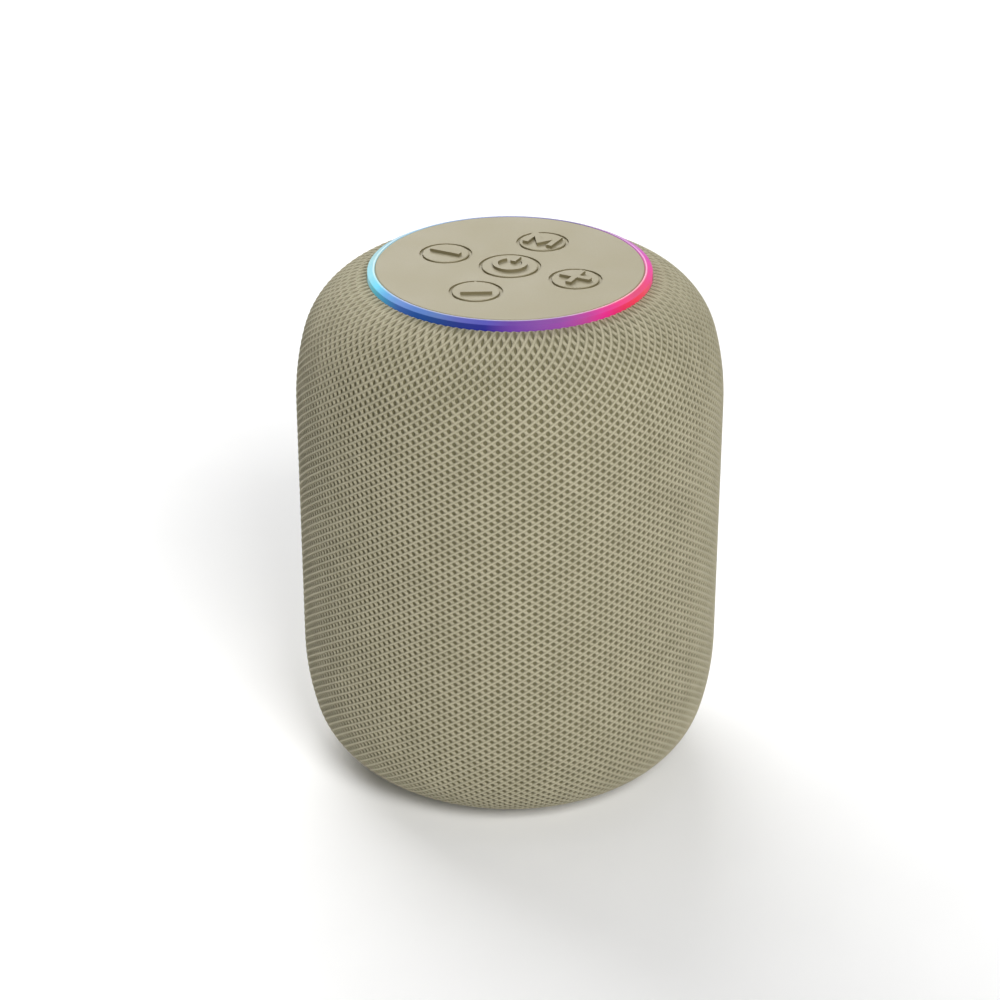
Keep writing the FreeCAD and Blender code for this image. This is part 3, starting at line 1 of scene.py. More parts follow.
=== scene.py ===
"""Looks of the smart speaker: a knitted net sleeve, a rainbow ring and moulded keys, round the CAD frame."""
import math

import bpy
import numpy as np
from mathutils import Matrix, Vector


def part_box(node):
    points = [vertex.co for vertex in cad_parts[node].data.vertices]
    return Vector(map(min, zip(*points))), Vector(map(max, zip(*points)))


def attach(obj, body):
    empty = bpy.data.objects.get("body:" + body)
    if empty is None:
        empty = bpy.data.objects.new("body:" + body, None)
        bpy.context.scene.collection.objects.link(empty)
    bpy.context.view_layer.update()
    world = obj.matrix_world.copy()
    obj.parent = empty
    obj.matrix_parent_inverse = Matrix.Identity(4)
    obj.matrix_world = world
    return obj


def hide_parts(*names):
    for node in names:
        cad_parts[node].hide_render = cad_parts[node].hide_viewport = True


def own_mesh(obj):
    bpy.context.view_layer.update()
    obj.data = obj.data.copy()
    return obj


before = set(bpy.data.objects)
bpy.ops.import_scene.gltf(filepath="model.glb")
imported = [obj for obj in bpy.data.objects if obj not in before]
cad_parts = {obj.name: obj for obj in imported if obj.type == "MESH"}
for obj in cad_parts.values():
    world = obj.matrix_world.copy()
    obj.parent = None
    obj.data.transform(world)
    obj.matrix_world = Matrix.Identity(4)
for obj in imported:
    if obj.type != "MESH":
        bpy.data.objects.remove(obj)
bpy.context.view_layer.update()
bpy.context.scene.view_settings.view_transform = "Standard"

MM = 0.001

# ---------------------------------------------------------------- sizes

sleeve_low, sleeve_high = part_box("fabric_sleeve")
SLEEVE_RADIUS = sleeve_high.x
SLEEVE_MID = (sleeve_low.z + sleeve_high.z) / 2
RIM_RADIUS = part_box("light_ring")[1].x + 0.1 * MM      # the sleeve stops just outside the ring
WALL_HALF = 31.0 * MM                                  # half the height of the straight middle
EASE_RADIUS = 63.4 * MM                                # arc that eases the wall into each end
EASE_ANGLE = math.radians(15.0)
CORNER_RADIUS = 19.6 * MM                              # arc that turns each end over

COLUMNS = 112             # holes round the sleeve in one row
STRAND = 1.675 * MM       # yarn between two crossings, the same all over the sleeve
RIM_PULL = 1.5            # share by which the strands are stretched at the rims
PULL_REACH = 16.0 * MM    # how far from a rim that stretch dies out, with the cube of the distance
LAST_ROW = 1.2 * MM       # last row of holes, short of the rim
HOLE_WIDTH = 0.38         # half width of a hole, as a share of half the column pitch
HOLE_HEIGHT = 0.60        # half height of a hole, as a share of the row pitch
HOLE_SLIT = -0.05         # added to the width's share, and half of it to the height's, where holes are slits
SLIT_START = 0.7          # row pitch over column pitch where a hole starts to count as a slit
SLIT_SPAN = 0.9           # and how much further that ratio grows until it fully does
HOLE_CORNER = 0.66        # how square a hole is: 0.5 is a diamond, 0.71 an ellipse
EDGE_DROP = 0.13 * MM     # edge of a hole below the crown of its strands
UNDER_DROP = 0.09 * MM    # crown of the strands that pass under, halfway between crossings
WALL_DEPTH = 0.45 * MM    # foot of the walls of a hole
WALL_TUCK = 1.08          # a hole is this much wider at its foot
BACKING_DEPTH = 0.48 * MM  # the scrim under the net
BACKING_RIM = 0.1 * MM    # the same at the rims, where the net is pulled tight
RIM_REACH = 2.5 * MM      # how far from a rim the scrim starts to rise
BACKING_ROWS = 181
BACKING_COLUMNS = 240
BAND_NAMES = ("sleeve_lower", "sleeve_middle", "sleeve_upper")
LEAST_FACE = 1e-4 * MM ** 2   # faces of the net below this area are left out

port_low, port_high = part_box("port_panel")
PORT_MIDDLE = (port_low.z + port_high.z) / 2
PORT_FLANGE = 1.5 * MM    # flange of the panel, hidden inside the cage
PORT_GAP = 0.1 * MM
PORT_HALF_WIDTH = port_high.x - PORT_FLANGE + PORT_GAP
PORT_HALF_HEIGHT = (port_high.z - port_low.z) / 2 - PORT_FLANGE + PORT_GAP
PORT_CORNER = 3.0 * MM
HEM_RADIUS = 0.42 * MM    # bound edge of the sleeve round the ports
HEM_SIDES = 10
HEM_STEP = 1.5 * MM       # length of its pieces
HEM_CORNER_STEPS = 8


# ---------------------------------------------------------------- the sleeve's surface

EASE_X = SLEEVE_RADIUS - EASE_RADIUS
CORNER_X = EASE_X + (EASE_RADIUS - CORNER_RADIUS) * math.cos(EASE_ANGLE)
CORNER_UP = WALL_HALF + (EASE_RADIUS - CORNER_RADIUS) * math.sin(EASE_ANGLE)
EASE_LENGTH = EASE_RADIUS * EASE_ANGLE
CORNER_SWEEP = math.acos((RIM_RADIUS - CORNER_X) / CORNER_RADIUS) - EASE_ANGLE
HALF_LENGTH = WALL_HALF + EASE_LENGTH + CORNER_RADIUS * CORNER_SWEEP


def meridian(along):
    """Radius, height and slope of the sleeve's surface, at distances along it from its middle."""
    along = np.clip(along, -HALF_LENGTH, HALF_LENGTH)
    far = np.abs(along)
    side = np.sign(along)
    ease = np.clip((far - WALL_HALF) / EASE_RADIUS, 0, EASE_ANGLE)
    turn = np.maximum(far - WALL_HALF - EASE_LENGTH, 0) / CORNER_RADIUS
    slope = ease + turn
    in_corner = turn > 0
    radius = np.where(in_corner, CORNER_X + CORNER_RADIUS * np.cos(slope),
                      EASE_X + EASE_RADIUS * np.cos(ease))
    rise = np.where(in_corner, CORNER_UP + CORNER_RADIUS * np.sin(slope),
                    np.minimum(far, WALL_HALF) + EASE_RADIUS * np.sin(ease))
    return radius, SLEEVE_MID + side * rise, side * slope


def on_sleeve(angle, along, depth):
    """Points a depth under the sleeve's surface."""
    radius, height, slope = meridian(along)
    radius = radius - depth * np.cos(slope)
    height = height - depth * np.sin(slope)
    return np.stack([radius * np.cos(angle), radius * np.sin(angle), height], -1)


def row_places():
    """Places of the rows of holes along the meridian, one half pitch apart, the last one past the rim."""
    places, last = [0.0], HALF_LENGTH - LAST_ROW

    def step():
        pull = max(0.0, 1 - (HALF_LENGTH - places[-1]) / PULL_REACH) ** 3
        strand = STRAND * (1 + RIM_PULL * pull)
        return math.sqrt(strand ** 2 - (math.pi * float(meridian(places[-1])[0]) / COLUMNS) ** 2)

    while places[-1] < last:
        places.append(places[-1] + step())
    places = [place * last / places[-1] for place in places]
    places.append(places[-1] + step())
    half = np.array(places)
    return np.concatenate([-half[:0:-1], half])


def outside_port(points):
    """Distance of points outside the port opening, negative inside, and the way out in X and Z."""
    x, z = points[:, 0], points[:, 2] - PORT_MIDDLE
    core = np.array([PORT_HALF_WIDTH, PORT_HALF_HEIGHT]) - PORT_CORNER
    reach = np.stack([np.abs(x), np.abs(z)], -1) - core
    beyond = np.maximum(reach, 0)
    length = np.linalg.norm(beyond, axis=1)
    inner = np.minimum(reach.max(1), 0)
    distance = length + inner - PORT_CORNER
    flat = np.where(reach[:, :1] > reach[:, 1:], [[1.0, 0.0]], [[0.0, 1.0]])
    way = np.where(length[:, None] > 0, beyond / np.maximum(length, 1e-9)[:, None], flat)
    way = way * np.sign(np.stack([x, z], -1))
    distance[points[:, 1] < 0] = SLEEVE_RADIUS
    return distance, way


def cut_port(points, faces):
    """Take the faces in the port opening away and pull the ragged edge onto its outline."""
    distance, way = outside_port(points)
    keep = distance[faces].mean(1) > 0
    edge = (distance < 0) & np.isin(np.arange(len(points)), faces[keep])
    radius = np.hypot(points[edge, 0], points[edge, 1])
    points[edge, 0] -= way[edge, 0] * distance[edge]
    points[edge, 2] -= way[edge, 1] * distance[edge]
    points[edge, 1] = np.sqrt(radius ** 2 - points[edge, 0] ** 2)
    return keep


# ---------------------------------------------------------------- meshes

def new_mesh(name, points, faces, lattice=None):
    """An object from points and quads; lattice gives the weave's coordinates at each corner."""
    used, index = np.unique(faces, return_inverse=True)
    mesh = bpy.data.meshes.new(name)
    mesh.from_pydata(points[used].tolist(), [], index.reshape(faces.shape).tolist())
    mesh.shade_smooth()
    if lattice is not None:
        layer = mesh.uv_layers.new(name="weave")
        layer.uv.foreach_set("vector", lattice.reshape(-1).astype(np.float32))
    piece = bpy.data.objects.new(name, mesh)
    bpy.context.scene.collection.objects.link(piece)
    return piece


def quad_vectors(points, faces):
    """Twice the area of each quad, as a vector along its normal."""
    a, b, c, d = (points[faces[:, i]] for i in range(4))
    return np.cross(c - a, d - b)


def quad_areas(points, faces):
    return np.linalg.norm(quad_vectors(points, faces), axis=1) / 2


def smooth_normals(points, faces):
    """The normal of each point, over all the faces round it."""
    face = quad_vectors(points, faces)
    total = np.zeros_like(points)
    for i in range(4):
        np.add.at(total, faces[:, i], face)
    return total / np.maximum(np.linalg.norm(total, axis=1), 1e-12)[:, None]


def net_points(rows):
    """Points of the net, block by block: crossings, strand crowns, and the rims and feet of the holes."""
    count = len(rows)
    half_columns = 2 * COLUMNS
    angle = np.arange(half_columns) * math.pi / COLUMNS
    at_angle, at_row = np.meshgrid(angle, rows)
    radius = meridian(rows)[0]
    across = math.pi / COLUMNS
    up = np.gradient(rows)
    slit = np.clip((up / (across * radius) - SLIT_START) / SLIT_SPAN, 0, 1)
    half_width = (HOLE_WIDTH + HOLE_SLIT * slit)[:, None] * across
    half_height = (HOLE_HEIGHT + HOLE_SLIT * slit / 2)[:, None] * up[:, None]
    blocks = [on_sleeve(at_angle, at_row, 0.0)]
    upper = np.minimum(np.arange(count) + 1, count - 1)
    between = (at_row + rows[upper][:, None]) / 2
    for side, drop in ((1, 0.0), (-1, UNDER_DROP)):
        blocks.append(on_sleeve(at_angle + side * across / 2, between, drop))
    corners = []
    for turn in range(8):
        x, y = math.cos(turn * math.pi / 4), math.sin(turn * math.pi / 4)
        if turn % 2:
            x, y = math.copysign(HOLE_CORNER, x), math.copysign(HOLE_CORNER, y)
        corners.append((x, y))
    for depth, grow in ((EDGE_DROP, 1.0), (WALL_DEPTH, WALL_TUCK)):
        for x, y in corners:
            blocks.append(on_sleeve(at_angle + x * grow * half_width, at_row + y * grow * half_height, depth))
    offsets = [(0, 0), (0.5, 0.5), (-0.5, 0.5)] + 2 * [(x * HOLE_WIDTH, y * HOLE_HEIGHT) for x, y in corners]
    return np.concatenate([b.reshape(-1, 3) for b in blocks]), offsets


EAST, NORTH_EAST, NORTH, NORTH_WEST, WEST, SOUTH_WEST, SOUTH, SOUTH_EAST = range(8)
CROSSING, RISING, FALLING, RIM = 0, 1, 2, 3     # blocks of points; RIM and the 7 after it go round a hole
FOOT = RIM + 8                                  # and so do the feet of its walls


def net_faces(count):
    """Quads of the net, as point numbers, lattice coordinates and the row that each belongs to."""
    half_columns = 2 * COLUMNS
    size = count * half_columns
    row, column = (g.ravel() for g in np.meshgrid(np.arange(count), np.arange(half_columns), indexing="ij"))
    is_crossing = (row + column) % 2 == 1
    strands = is_crossing & (row < count - 1)
    quads = []

    def add(chosen, *corners):
        """One quad at each chosen lattice point; a corner is (block, column step, row step)."""
        at, up = column[chosen], row[chosen]
        numbers = [block * size + (up + dy) * half_columns + (at + dx) % half_columns
                   for block, dx, dy in corners]
        quads.append((np.stack(numbers, -1), at, up, corners))

    def rim(point):
        return RIM + point

    start, end = (CROSSING, 0, 0), (CROSSING, 1, 1)
    crown = (RISING, 0, 0)
    add(strands, start, (rim(WEST), 1, 0), (rim(NORTH_WEST), 1, 0), crown)
    add(strands, start, crown, (rim(SOUTH_EAST), 0, 1), (rim(SOUTH), 0, 1))
    add(strands, end, (rim(EAST), 0, 1), (rim(SOUTH_EAST), 0, 1), crown)
    add(strands, end, crown, (rim(NORTH_WEST), 1, 0), (rim(NORTH), 1, 0))
    end, crown = (CROSSING, -1, 1), (FALLING, 0, 0)
    add(strands, start, crown, (rim(NORTH_EAST), -1, 0), (rim(EAST), -1, 0))
    add(strands, start, (rim(SOUTH), 0, 1), (rim(SOUTH_WEST), 0, 1), crown)
    add(strands, end, (rim(NORTH), -1, 0), (rim(NORTH_EAST), -1, 0), crown)
    add(strands, end, crown, (rim(SOUTH_WEST), 0, 1), (rim(WEST), 0, 1))
    for point in range(8):
        after = (point + 1) % 8
        chosen = ~is_crossing
        if point < 4:
            chosen = chosen & (row < count - 1)
        else:
            chosen = chosen & (row > 0)
        add(chosen, (rim(point), 0, 0), (rim(after), 0, 0), (FOOT + after, 0, 0), (FOOT + point, 0, 0))
    return quads


def knitted_net():
    """The sleeve's net as bands of one knitted tube, each with its length along the sleeve."""
    rows = row_places()
    points, offsets = net_points(rows)
    faces, lattice, levels = [], [], []
    for numbers, column, row, corners in net_faces(len(rows)):
        faces.append(numbers)
        levels.append(row)
        here = [np.stack([column + dx + offsets[block][0], row + dy + offsets[block][1]], -1)
                for block, dx, dy in corners]
        lattice.append(np.stack(here, 1))
    faces, lattice, levels = (np.concatenate(g) for g in (faces, lattice, levels))
    keep = cut_port(points, faces)
    keep &= quad_areas(points, faces) > LEAST_FACE
    faces, lattice, levels = faces[keep], lattice[keep], levels[keep]
    normals = smooth_normals(points, faces)
    share = len(rows) / len(BAND_NAMES)
    bands = []
    for number, name in enumerate(BAND_NAMES):
        chosen = (levels >= number * share) & (levels < (number + 1) * share)
        band = new_mesh(name, points, faces[chosen], lattice[chosen])
        band.data.normals_split_custom_set_from_vertices(normals[np.unique(faces[chosen])].tolist())
        first, last = math.ceil(number * share), min(math.ceil((number + 1) * share), len(rows) - 1)
        bands.append((band, rows[last] - rows[first]))
    return bands


def backing_sheet():
    """The fine scrim under the net."""
    rows = np.linspace(-HALF_LENGTH, HALF_LENGTH, BACKING_ROWS)
    around = BACKING_COLUMNS
    angle = np.arange(around) * 2 * math.pi / around
    at_angle, at_row = np.meshgrid(angle, rows)
    near_rim = np.clip(1 - (HALF_LENGTH - np.abs(at_row)) / RIM_REACH, 0, 1)
    depth = BACKING_DEPTH + (BACKING_RIM - BACKING_DEPTH) * near_rim
    points = on_sleeve(at_angle, at_row, depth).reshape(-1, 3)
    row, column = (g.ravel() for g in np.meshgrid(np.arange(len(rows) - 1), np.arange(around), indexing="ij"))
    after = (column + 1) % around
    faces = np.stack([row * around + column, row * around + after, (row + 1) * around + after,
                      (row + 1) * around + column], -1)
    faces = faces[cut_port(points, faces)]
    return new_mesh("sleeve_backing", points, faces)


def port_hem():
    """The bound edge of the sleeve round the port opening, as a tube that follows the wall."""
    outline = []
    for corner, (side_x, side_z) in enumerate(((1, 1), (-1, 1), (-1, -1), (1, -1))):
        for step in range(HEM_CORNER_STEPS + 1):
            turn = (corner + step / HEM_CORNER_STEPS) * math.pi / 2
            x = side_x * (PORT_HALF_WIDTH - PORT_CORNER) + PORT_CORNER * math.cos(turn)
            z = side_z * (PORT_HALF_HEIGHT - PORT_CORNER) + PORT_CORNER * math.sin(turn)
            outline.append((x, z))
    path = []
    for (x, z), (next_x, next_z) in zip(outline, outline[1:] + outline[:1]):
        pieces = max(1, round(math.dist((x, z), (next_x, next_z)) / HEM_STEP))
        for step in range(pieces):
            part = step / pieces
            path.append((x + part * (next_x - x), z + part * (next_z - z)))
    path = np.array(path)
    reach = SLEEVE_RADIUS - HEM_RADIUS
    centre = np.stack([path[:, 0], np.sqrt(reach ** 2 - path[:, 0] ** 2), PORT_MIDDLE + path[:, 1]], -1)
    along = np.roll(centre, -1, 0) - np.roll(centre, 1, 0)
    along /= np.linalg.norm(along, axis=1)[:, None]
    outward = centre * [1, 1, 0]
    outward /= np.linalg.norm(outward, axis=1)[:, None]
    side = np.cross(along, outward)
    sides = HEM_SIDES
    points = []
    for number in range(sides):
        turn = 2 * math.pi * number / sides
        points.append(centre + HEM_RADIUS * (math.cos(turn) * side + math.sin(turn) * outward))
    points = np.stack(points, 1).reshape(-1, 3)
    row, column = (g.ravel() for g in np.meshgrid(np.arange(len(path)), np.arange(sides), indexing="ij"))
    after, below = (column + 1) % sides, (row + 1) % len(path)
    faces = np.stack([row * sides + column, row * sides + after, below * sides + after,
                      below * sides + column], -1)
    return new_mesh("port_hem", points, faces)


# ---------------------------------------------------------------- node helpers

def srgb(red, green, blue):
    """A colour given as 0 to 255, in the renderer's linear values."""
    linear = []
    for part in (red / 255, green / 255, blue / 255):
        linear.append(part / 12.92 if part <= 0.04045 else ((part + 0.055) / 1.055) ** 2.4)
    return (*linear, 1.0)


def grey(value):
    return (value, value, value, 1.0)


class Shader:
    """A material's node tree, with short calls for the nodes used here."""

    def __init__(self, name, **constants):
        self.material = bpy.data.materials.new(name)
        self.material.use_nodes = True
        self.tree = self.material.node_tree
        self.surface = self.tree.nodes["Principled BSDF"]
        for socket, value in constants.items():
            self.surface.inputs[socket.replace("_", " ")].default_value = value

    def node(self, kind, **settings):
        item = self.tree.nodes.new("ShaderNode" + kind)
        for name, value in settings.items():
            setattr(item, name, value)
        return item

    def feed(self, socket, value):
        if isinstance(value, bpy.types.NodeSocket):
            self.tree.links.new(value, socket)
        else:
            socket.default_value = value

    def math(self, operation, *values):
        item = self.node("Math", operation=operation)
        for number, value in enumerate(values):
            self.feed(item.inputs[number], value)
        return item.outputs[0]

    def place(self):
        return self.node("TexCoord").outputs["Object"]

    def noise(self, scale, detail=2.0, where=None, rough=0.5):
        item = self.node("TexNoise")
        self.feed(item.inputs["Vector"], where or self.place())
        item.inputs["Scale"].default_value = scale
        item.inputs["Detail"].default_value = detail
        item.inputs["Roughness"].default_value = rough
        return item.outputs["Fac"]

    def ramp(self, factor, *stops):
        """A colour ramp from (position, colour) stops."""
        item = self.node("ValToRGB")
        self.feed(item.inputs[0], factor)
        elements = item.color_ramp.elements
        while len(elements) < len(stops):
            elements.new(1.0)
        for element, (position, colour) in zip(elements, stops):
            element.position = position
            element.color = colour
        return item.outputs[0]

    def mix(self, factor, first, second, blend="MIX"):
        item = self.node("Mix", data_type="RGBA", blend_type=blend)
        self.feed(item.inputs[0], factor)
        self.feed(item.inputs[6], first)
        self.feed(item.inputs[7], second)
        return item.outputs[2]

    def span(self, value, low, high, new_low=0.0, new_high=1.0, smooth=False):
        item = self.node("MapRange", interpolation_type="SMOOTHSTEP" if smooth else "LINEAR")
        for number, part in enumerate((value, low, high, new_low, new_high)):
            self.feed(item.inputs[number], part)
        return item.outputs[0]

    def bump(self, height, distance, strength=1.0):
        item = self.node("Bump")
        item.inputs["Strength"].default_value = strength
        item.inputs["Distance"].default_value = distance
        self.feed(item.inputs["Height"], height)
        self.feed(self.surface.inputs["Normal"], item.outputs[0])

    def set(self, socket, value):
        self.feed(self.surface.inputs[socket], value)


def scaled(colour, factor):
    return (*(min(1.0, part * factor) for part in colour[:3]), 1.0)


CLOUD_SHARE, FINE_SHARE = 0.6, 0.4       # of a moulding's unevenness, in patches and in its grain
UPRIGHT, LEVEL = 0.35, 0.6               # Z of the normal where a face counts as upright, and as level


def moulded(name, colour, rough, grain=2600.0, depth=0.01 * MM, spread=0.06, walls=None, **constants):
    """Moulded plastic or rubber: a fine spark-eroded grain and slightly uneven colour and gloss.

    walls is the colour that upright faces take: painted shade on the walls of signs and gaps.
    """
    shader = Shader(name, **constants)
    cloud = shader.noise(90.0, 3.0)
    fine = shader.noise(grain, 2.0)
    tone = shader.math("MULTIPLY_ADD", cloud, CLOUD_SHARE, shader.math("MULTIPLY", fine, FINE_SHARE))
    base = shader.ramp(tone, (0.3, scaled(colour, 1 - spread)), (0.7, scaled(colour, 1 + spread)))
    # Painted shade: upright faces, such as the walls of signs and gaps, take the darker walls colour.
    if walls is not None:
        facing = shader.node("SeparateXYZ")
        shader.feed(facing.inputs[0], shader.node("NewGeometry").outputs["Normal"])
        upright = shader.span(facing.outputs[2], UPRIGHT, LEVEL, 1.0, 0.0, smooth=True)
        base = shader.mix(upright, base, walls)
    shader.set("Base Color", base)
    shader.set("Roughness", shader.span(cloud, 0.3, 0.7, rough - 0.05, rough + 0.05))
    shader.bump(fine, depth)
    return shader.material


def metal(name, colour, rough, stretch=(1, 1, 1)):
    """Turned or plated metal with a faint brushed grain."""
    shader = Shader(name, Metallic=1.0)
    mapping = shader.node("Mapping")
    mapping.inputs["Scale"].default_value = stretch
    shader.feed(mapping.inputs["Vector"], shader.place())
    grain = shader.noise(900.0, 4.0, mapping.outputs[0])
    shader.set("Base Color", shader.ramp(grain, (0.3, scaled(colour, 0.85)), (0.7, scaled(colour, 1.08))))
    shader.set("Roughness", shader.span(grain, 0.3, 0.7, rough - 0.08, rough + 0.08))
    shader.bump(grain, 0.01 * MM, 0.5)
    return shader.material


# ---------------------------------------------------------------- materials of the sleeve

YARN = srgb(188, 181, 154)
# the dark end of the yarn's tones, taken by its own uneven fuzz and by painted shade at the edges and dips of
# the strands
YARN_SHADE = srgb(132, 127, 100)
# backing colour, darker than the yarn: partly its own, partly painted shade of the holes
SCRIM = srgb(118, 113, 84)
# distances from a strand's line, 0 on it and 1 halfway to the next
STRAND_EDGE = (0.22, 0.40)     # where a strand that passes over ends
CROWN_HIGHLIGHT_EDGE = 0.5               # where the painted highlight on a strand's crown has faded out
DIVE_SHADE_EDGE = (0.34, 0.75)       # where the painted shade on a strand that passes under ends, as it comes up again
TWISTS, TWIST_LEAN = 14.0, 9.0  # plies of the yarn, along a strand and across it
# what each adds to the tone of the yarn; the crown's share is a painted highlight, the share where a strand
# dips under is painted shade
TONE_BASE, TONE_FUZZ, TONE_CROWN_HIGHLIGHT, TONE_TWIST, TONE_DIVE_SHADE, TONE_CLOUD = 0.12, 0.7, 0.2, 0.05, 0.2, 0.06
TONE_RANGE = (0.15, 0.75)      # tones that take the shade colour and the full colour


def yarn(name):
    """Spun yarn: strands that rise to the right pass over, the others dip under them; a painted highlight
    lies on their crowns and painted shade on their edges and dips.
    """
    shader = Shader(name, Sheen_Weight=0.04, Sheen_Roughness=0.4)
    weave = shader.node("SeparateXYZ")
    shader.feed(weave.inputs[0], shader.node("UVMap", uv_map="weave").outputs[0])
    column, row = weave.outputs[0], weave.outputs[1]
    difference = shader.math("SUBTRACT", column, row)
    total = shader.math("ADD", column, row)

    def off_line(value):
        """Distance from the nearest odd whole number, 0 on a strand's line and 1 between strands."""
        wrapped = shader.math("FLOORED_MODULO", value, 2.0)
        return shader.math("ABSOLUTE", shader.math("SUBTRACT", wrapped, 1.0))

    over, under = off_line(difference), off_line(total)
    on_over = shader.span(over, *STRAND_EDGE, 1.0, 0.0, smooth=True)
    across = shader.mix(on_over, under, over)
    along = shader.mix(on_over, difference, total)
    lean = shader.math("MULTIPLY", across, TWIST_LEAN)
    twist = shader.math("SINE", shader.math("MULTIPLY_ADD", along, TWISTS, lean))
    fuzz = shader.noise(4200.0, 3.0, rough=0.6)
    cloud = shader.noise(170.0, 3.0)
    # painted highlight: the crown of each strand is lighter, its edges darker
    crown = shader.span(across, 0.0, CROWN_HIGHLIGHT_EDGE, 1.0, 0.0, smooth=True)
    # painted shade: a strand is darker where it dips under the one that passes over
    dive_shade = shader.math("MULTIPLY", shader.math("SUBTRACT", 1.0, on_over),
                       shader.span(over, *DIVE_SHADE_EDGE, 1.0, 0.0, smooth=True))
    tone = shader.math("MULTIPLY_ADD", fuzz, TONE_FUZZ, TONE_BASE)
    tone = shader.math("ADD", tone, shader.math("MULTIPLY", crown, TONE_CROWN_HIGHLIGHT))
    tone = shader.math("ADD", tone, shader.math("MULTIPLY", twist, TONE_TWIST))
    tone = shader.math("SUBTRACT", tone, shader.math("MULTIPLY", dive_shade, TONE_DIVE_SHADE))
    tone = shader.math("ADD", tone, shader.span(cloud, 0.3, 0.7, -TONE_CLOUD, TONE_CLOUD))
    shader.set("Base Color", shader.ramp(tone, (TONE_RANGE[0], YARN_SHADE), (TONE_RANGE[1], YARN)))
    shader.set("Roughness", shader.span(fuzz, 0.3, 0.7, 0.78, 0.92))
    height = shader.math("ADD", shader.math("MULTIPLY", twist, 0.35), fuzz)
    shader.bump(height, 0.05 * MM, 0.7)
    return shader.material


def scrim():
    """The fine backing seen through the holes of the net, darker partly by its own colour and partly as
    painted shade of the holes.
    """
    shader = Shader("backing_scrim", Sheen_Weight=0.1)
    fine = shader.noise(2500.0, 3.0)
    voronoi = shader.node("TexVoronoi")
    voronoi.inputs["Scale"].default_value = 2400.0
    shader.feed(voronoi.inputs["Vector"], shader.place())
    tone = shader.math("MULTIPLY_ADD", voronoi.outputs["Distance"], 0.5, shader.math("MULTIPLY", fine, 0.6))
    shader.set("Base Color", shader.ramp(tone, (0.2, scaled(SCRIM, 0.85)), (0.8, scaled(SCRIM, 1.12))))
    shader.set("Roughness", shader.span(fine, 0.3, 0.7, 0.85, 0.95))
    shader.bump(tone, 0.05 * MM)
    return shader.material


# ---------------------------------------------------------------- the lit ring

BEVEL_DROP = 0.65 * MM    # foot of the ring's bevel below its crest
BEVEL_BLEND = 0.1 * MM
RING_STRENGTH = 0.72      # of its light
RING_BOOST = 1.2          # spread of its channels, so that they keep their colour in the room's light
CREST_HIGHLIGHT = 0.25        # painted highlight: white mixed in on the crest
MILK = (0.22, 0.28)       # how much of the colour the unlit plastic takes, darkest and lightest

# colours round the ring, by angle from +X; the bevel is paler than the wall under it
RING_COLOURS = (
    (0, (232, 104, 172), (222, 92, 158)), (20, (206, 116, 196), (196, 104, 186)),
    (60, (96, 76, 150), (88, 68, 140)), (100, (136, 150, 196), (126, 146, 190)),
    (140, (150, 192, 214), (156, 196, 212)), (170, (178, 218, 222), (206, 228, 222)),
    (180, (164, 220, 232), (168, 204, 206)), (190, (141, 211, 226), (143, 192, 203)),
    (200, (74, 196, 223), (95, 177, 189)), (210, (33, 144, 200), (74, 147, 184)),
    (220, (86, 127, 191), (65, 100, 161)), (230, (76, 118, 184), (40, 81, 144)),
    (240, (96, 123, 178), (44, 74, 132)), (250, (97, 102, 175), (45, 59, 128)),
    (260, (92, 92, 174), (49, 50, 134)), (270, (112, 77, 157), (113, 74, 159)),
    (280, (133, 85, 158), (135, 87, 161)), (290, (147, 89, 160), (155, 87, 165)),
    (300, (179, 86, 158), (180, 84, 150)), (310, (217, 79, 153), (222, 60, 143)),
    (320, (233, 88, 142), (220, 63, 102)), (330, (220, 101, 137), (233, 73, 98)),
    (340, (230, 100, 137), (229, 91, 112)), (350, (233, 102, 158), (222, 88, 140)),
    (360, (232, 104, 172), (222, 92, 158)),
)


def vivid(colour):
    """A colour with its channels spread further from their mean."""
    mean = sum(colour) / 3
    return srgb(*(min(255.0, max(0.0, mean + RING_BOOST * (part - mean))) for part in colour))


def ring_glow():
    """Milky plastic lit from below: the colour runs round the ring, paler on the bevel, with a painted
    highlight of white on its crest.
    """
    shader = Shader("ring_glow", Roughness=0.4, Specular_IOR_Level=0.2, Emission_Strength=RING_STRENGTH)
    spot = shader.node("SeparateXYZ")
    shader.feed(spot.inputs[0], shader.place())
    east, north, rise = spot.outputs
    turn = shader.math("FRACT", shader.math("DIVIDE", shader.math("ARCTAN2", north, east), 2 * math.pi))
    bevel = shader.ramp(turn, *((degrees / 360, vivid(pale)) for degrees, pale, _ in RING_COLOURS))
    wall = shader.ramp(turn, *((degrees / 360, vivid(deep)) for degrees, _, deep in RING_COLOURS))
    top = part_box("light_ring")[1].z
    on_bevel = shader.span(rise, top - BEVEL_DROP - BEVEL_BLEND, top - BEVEL_DROP + BEVEL_BLEND, smooth=True)
    # painted highlight: white along the top of the crest
    on_crest_highlight = shader.span(rise, top - BEVEL_BLEND, top, 0.0, CREST_HIGHLIGHT, smooth=True)
    colour = shader.mix(on_bevel, wall, bevel)
    colour = shader.mix(on_crest_highlight, colour, grey(1.0))
    cloud = shader.noise(300.0)
    milk = shader.ramp(cloud, (0.3, grey(MILK[0])), (0.7, grey(MILK[1])))
    shader.set("Base Color", shader.mix(1.0, colour, milk, "MULTIPLY"))
    shader.set("Emission Color", colour)
    shader.bump(shader.noise(2400.0), 0.004 * MM)
    return shader.material


# ---------------------------------------------------------------- materials of the inner pieces

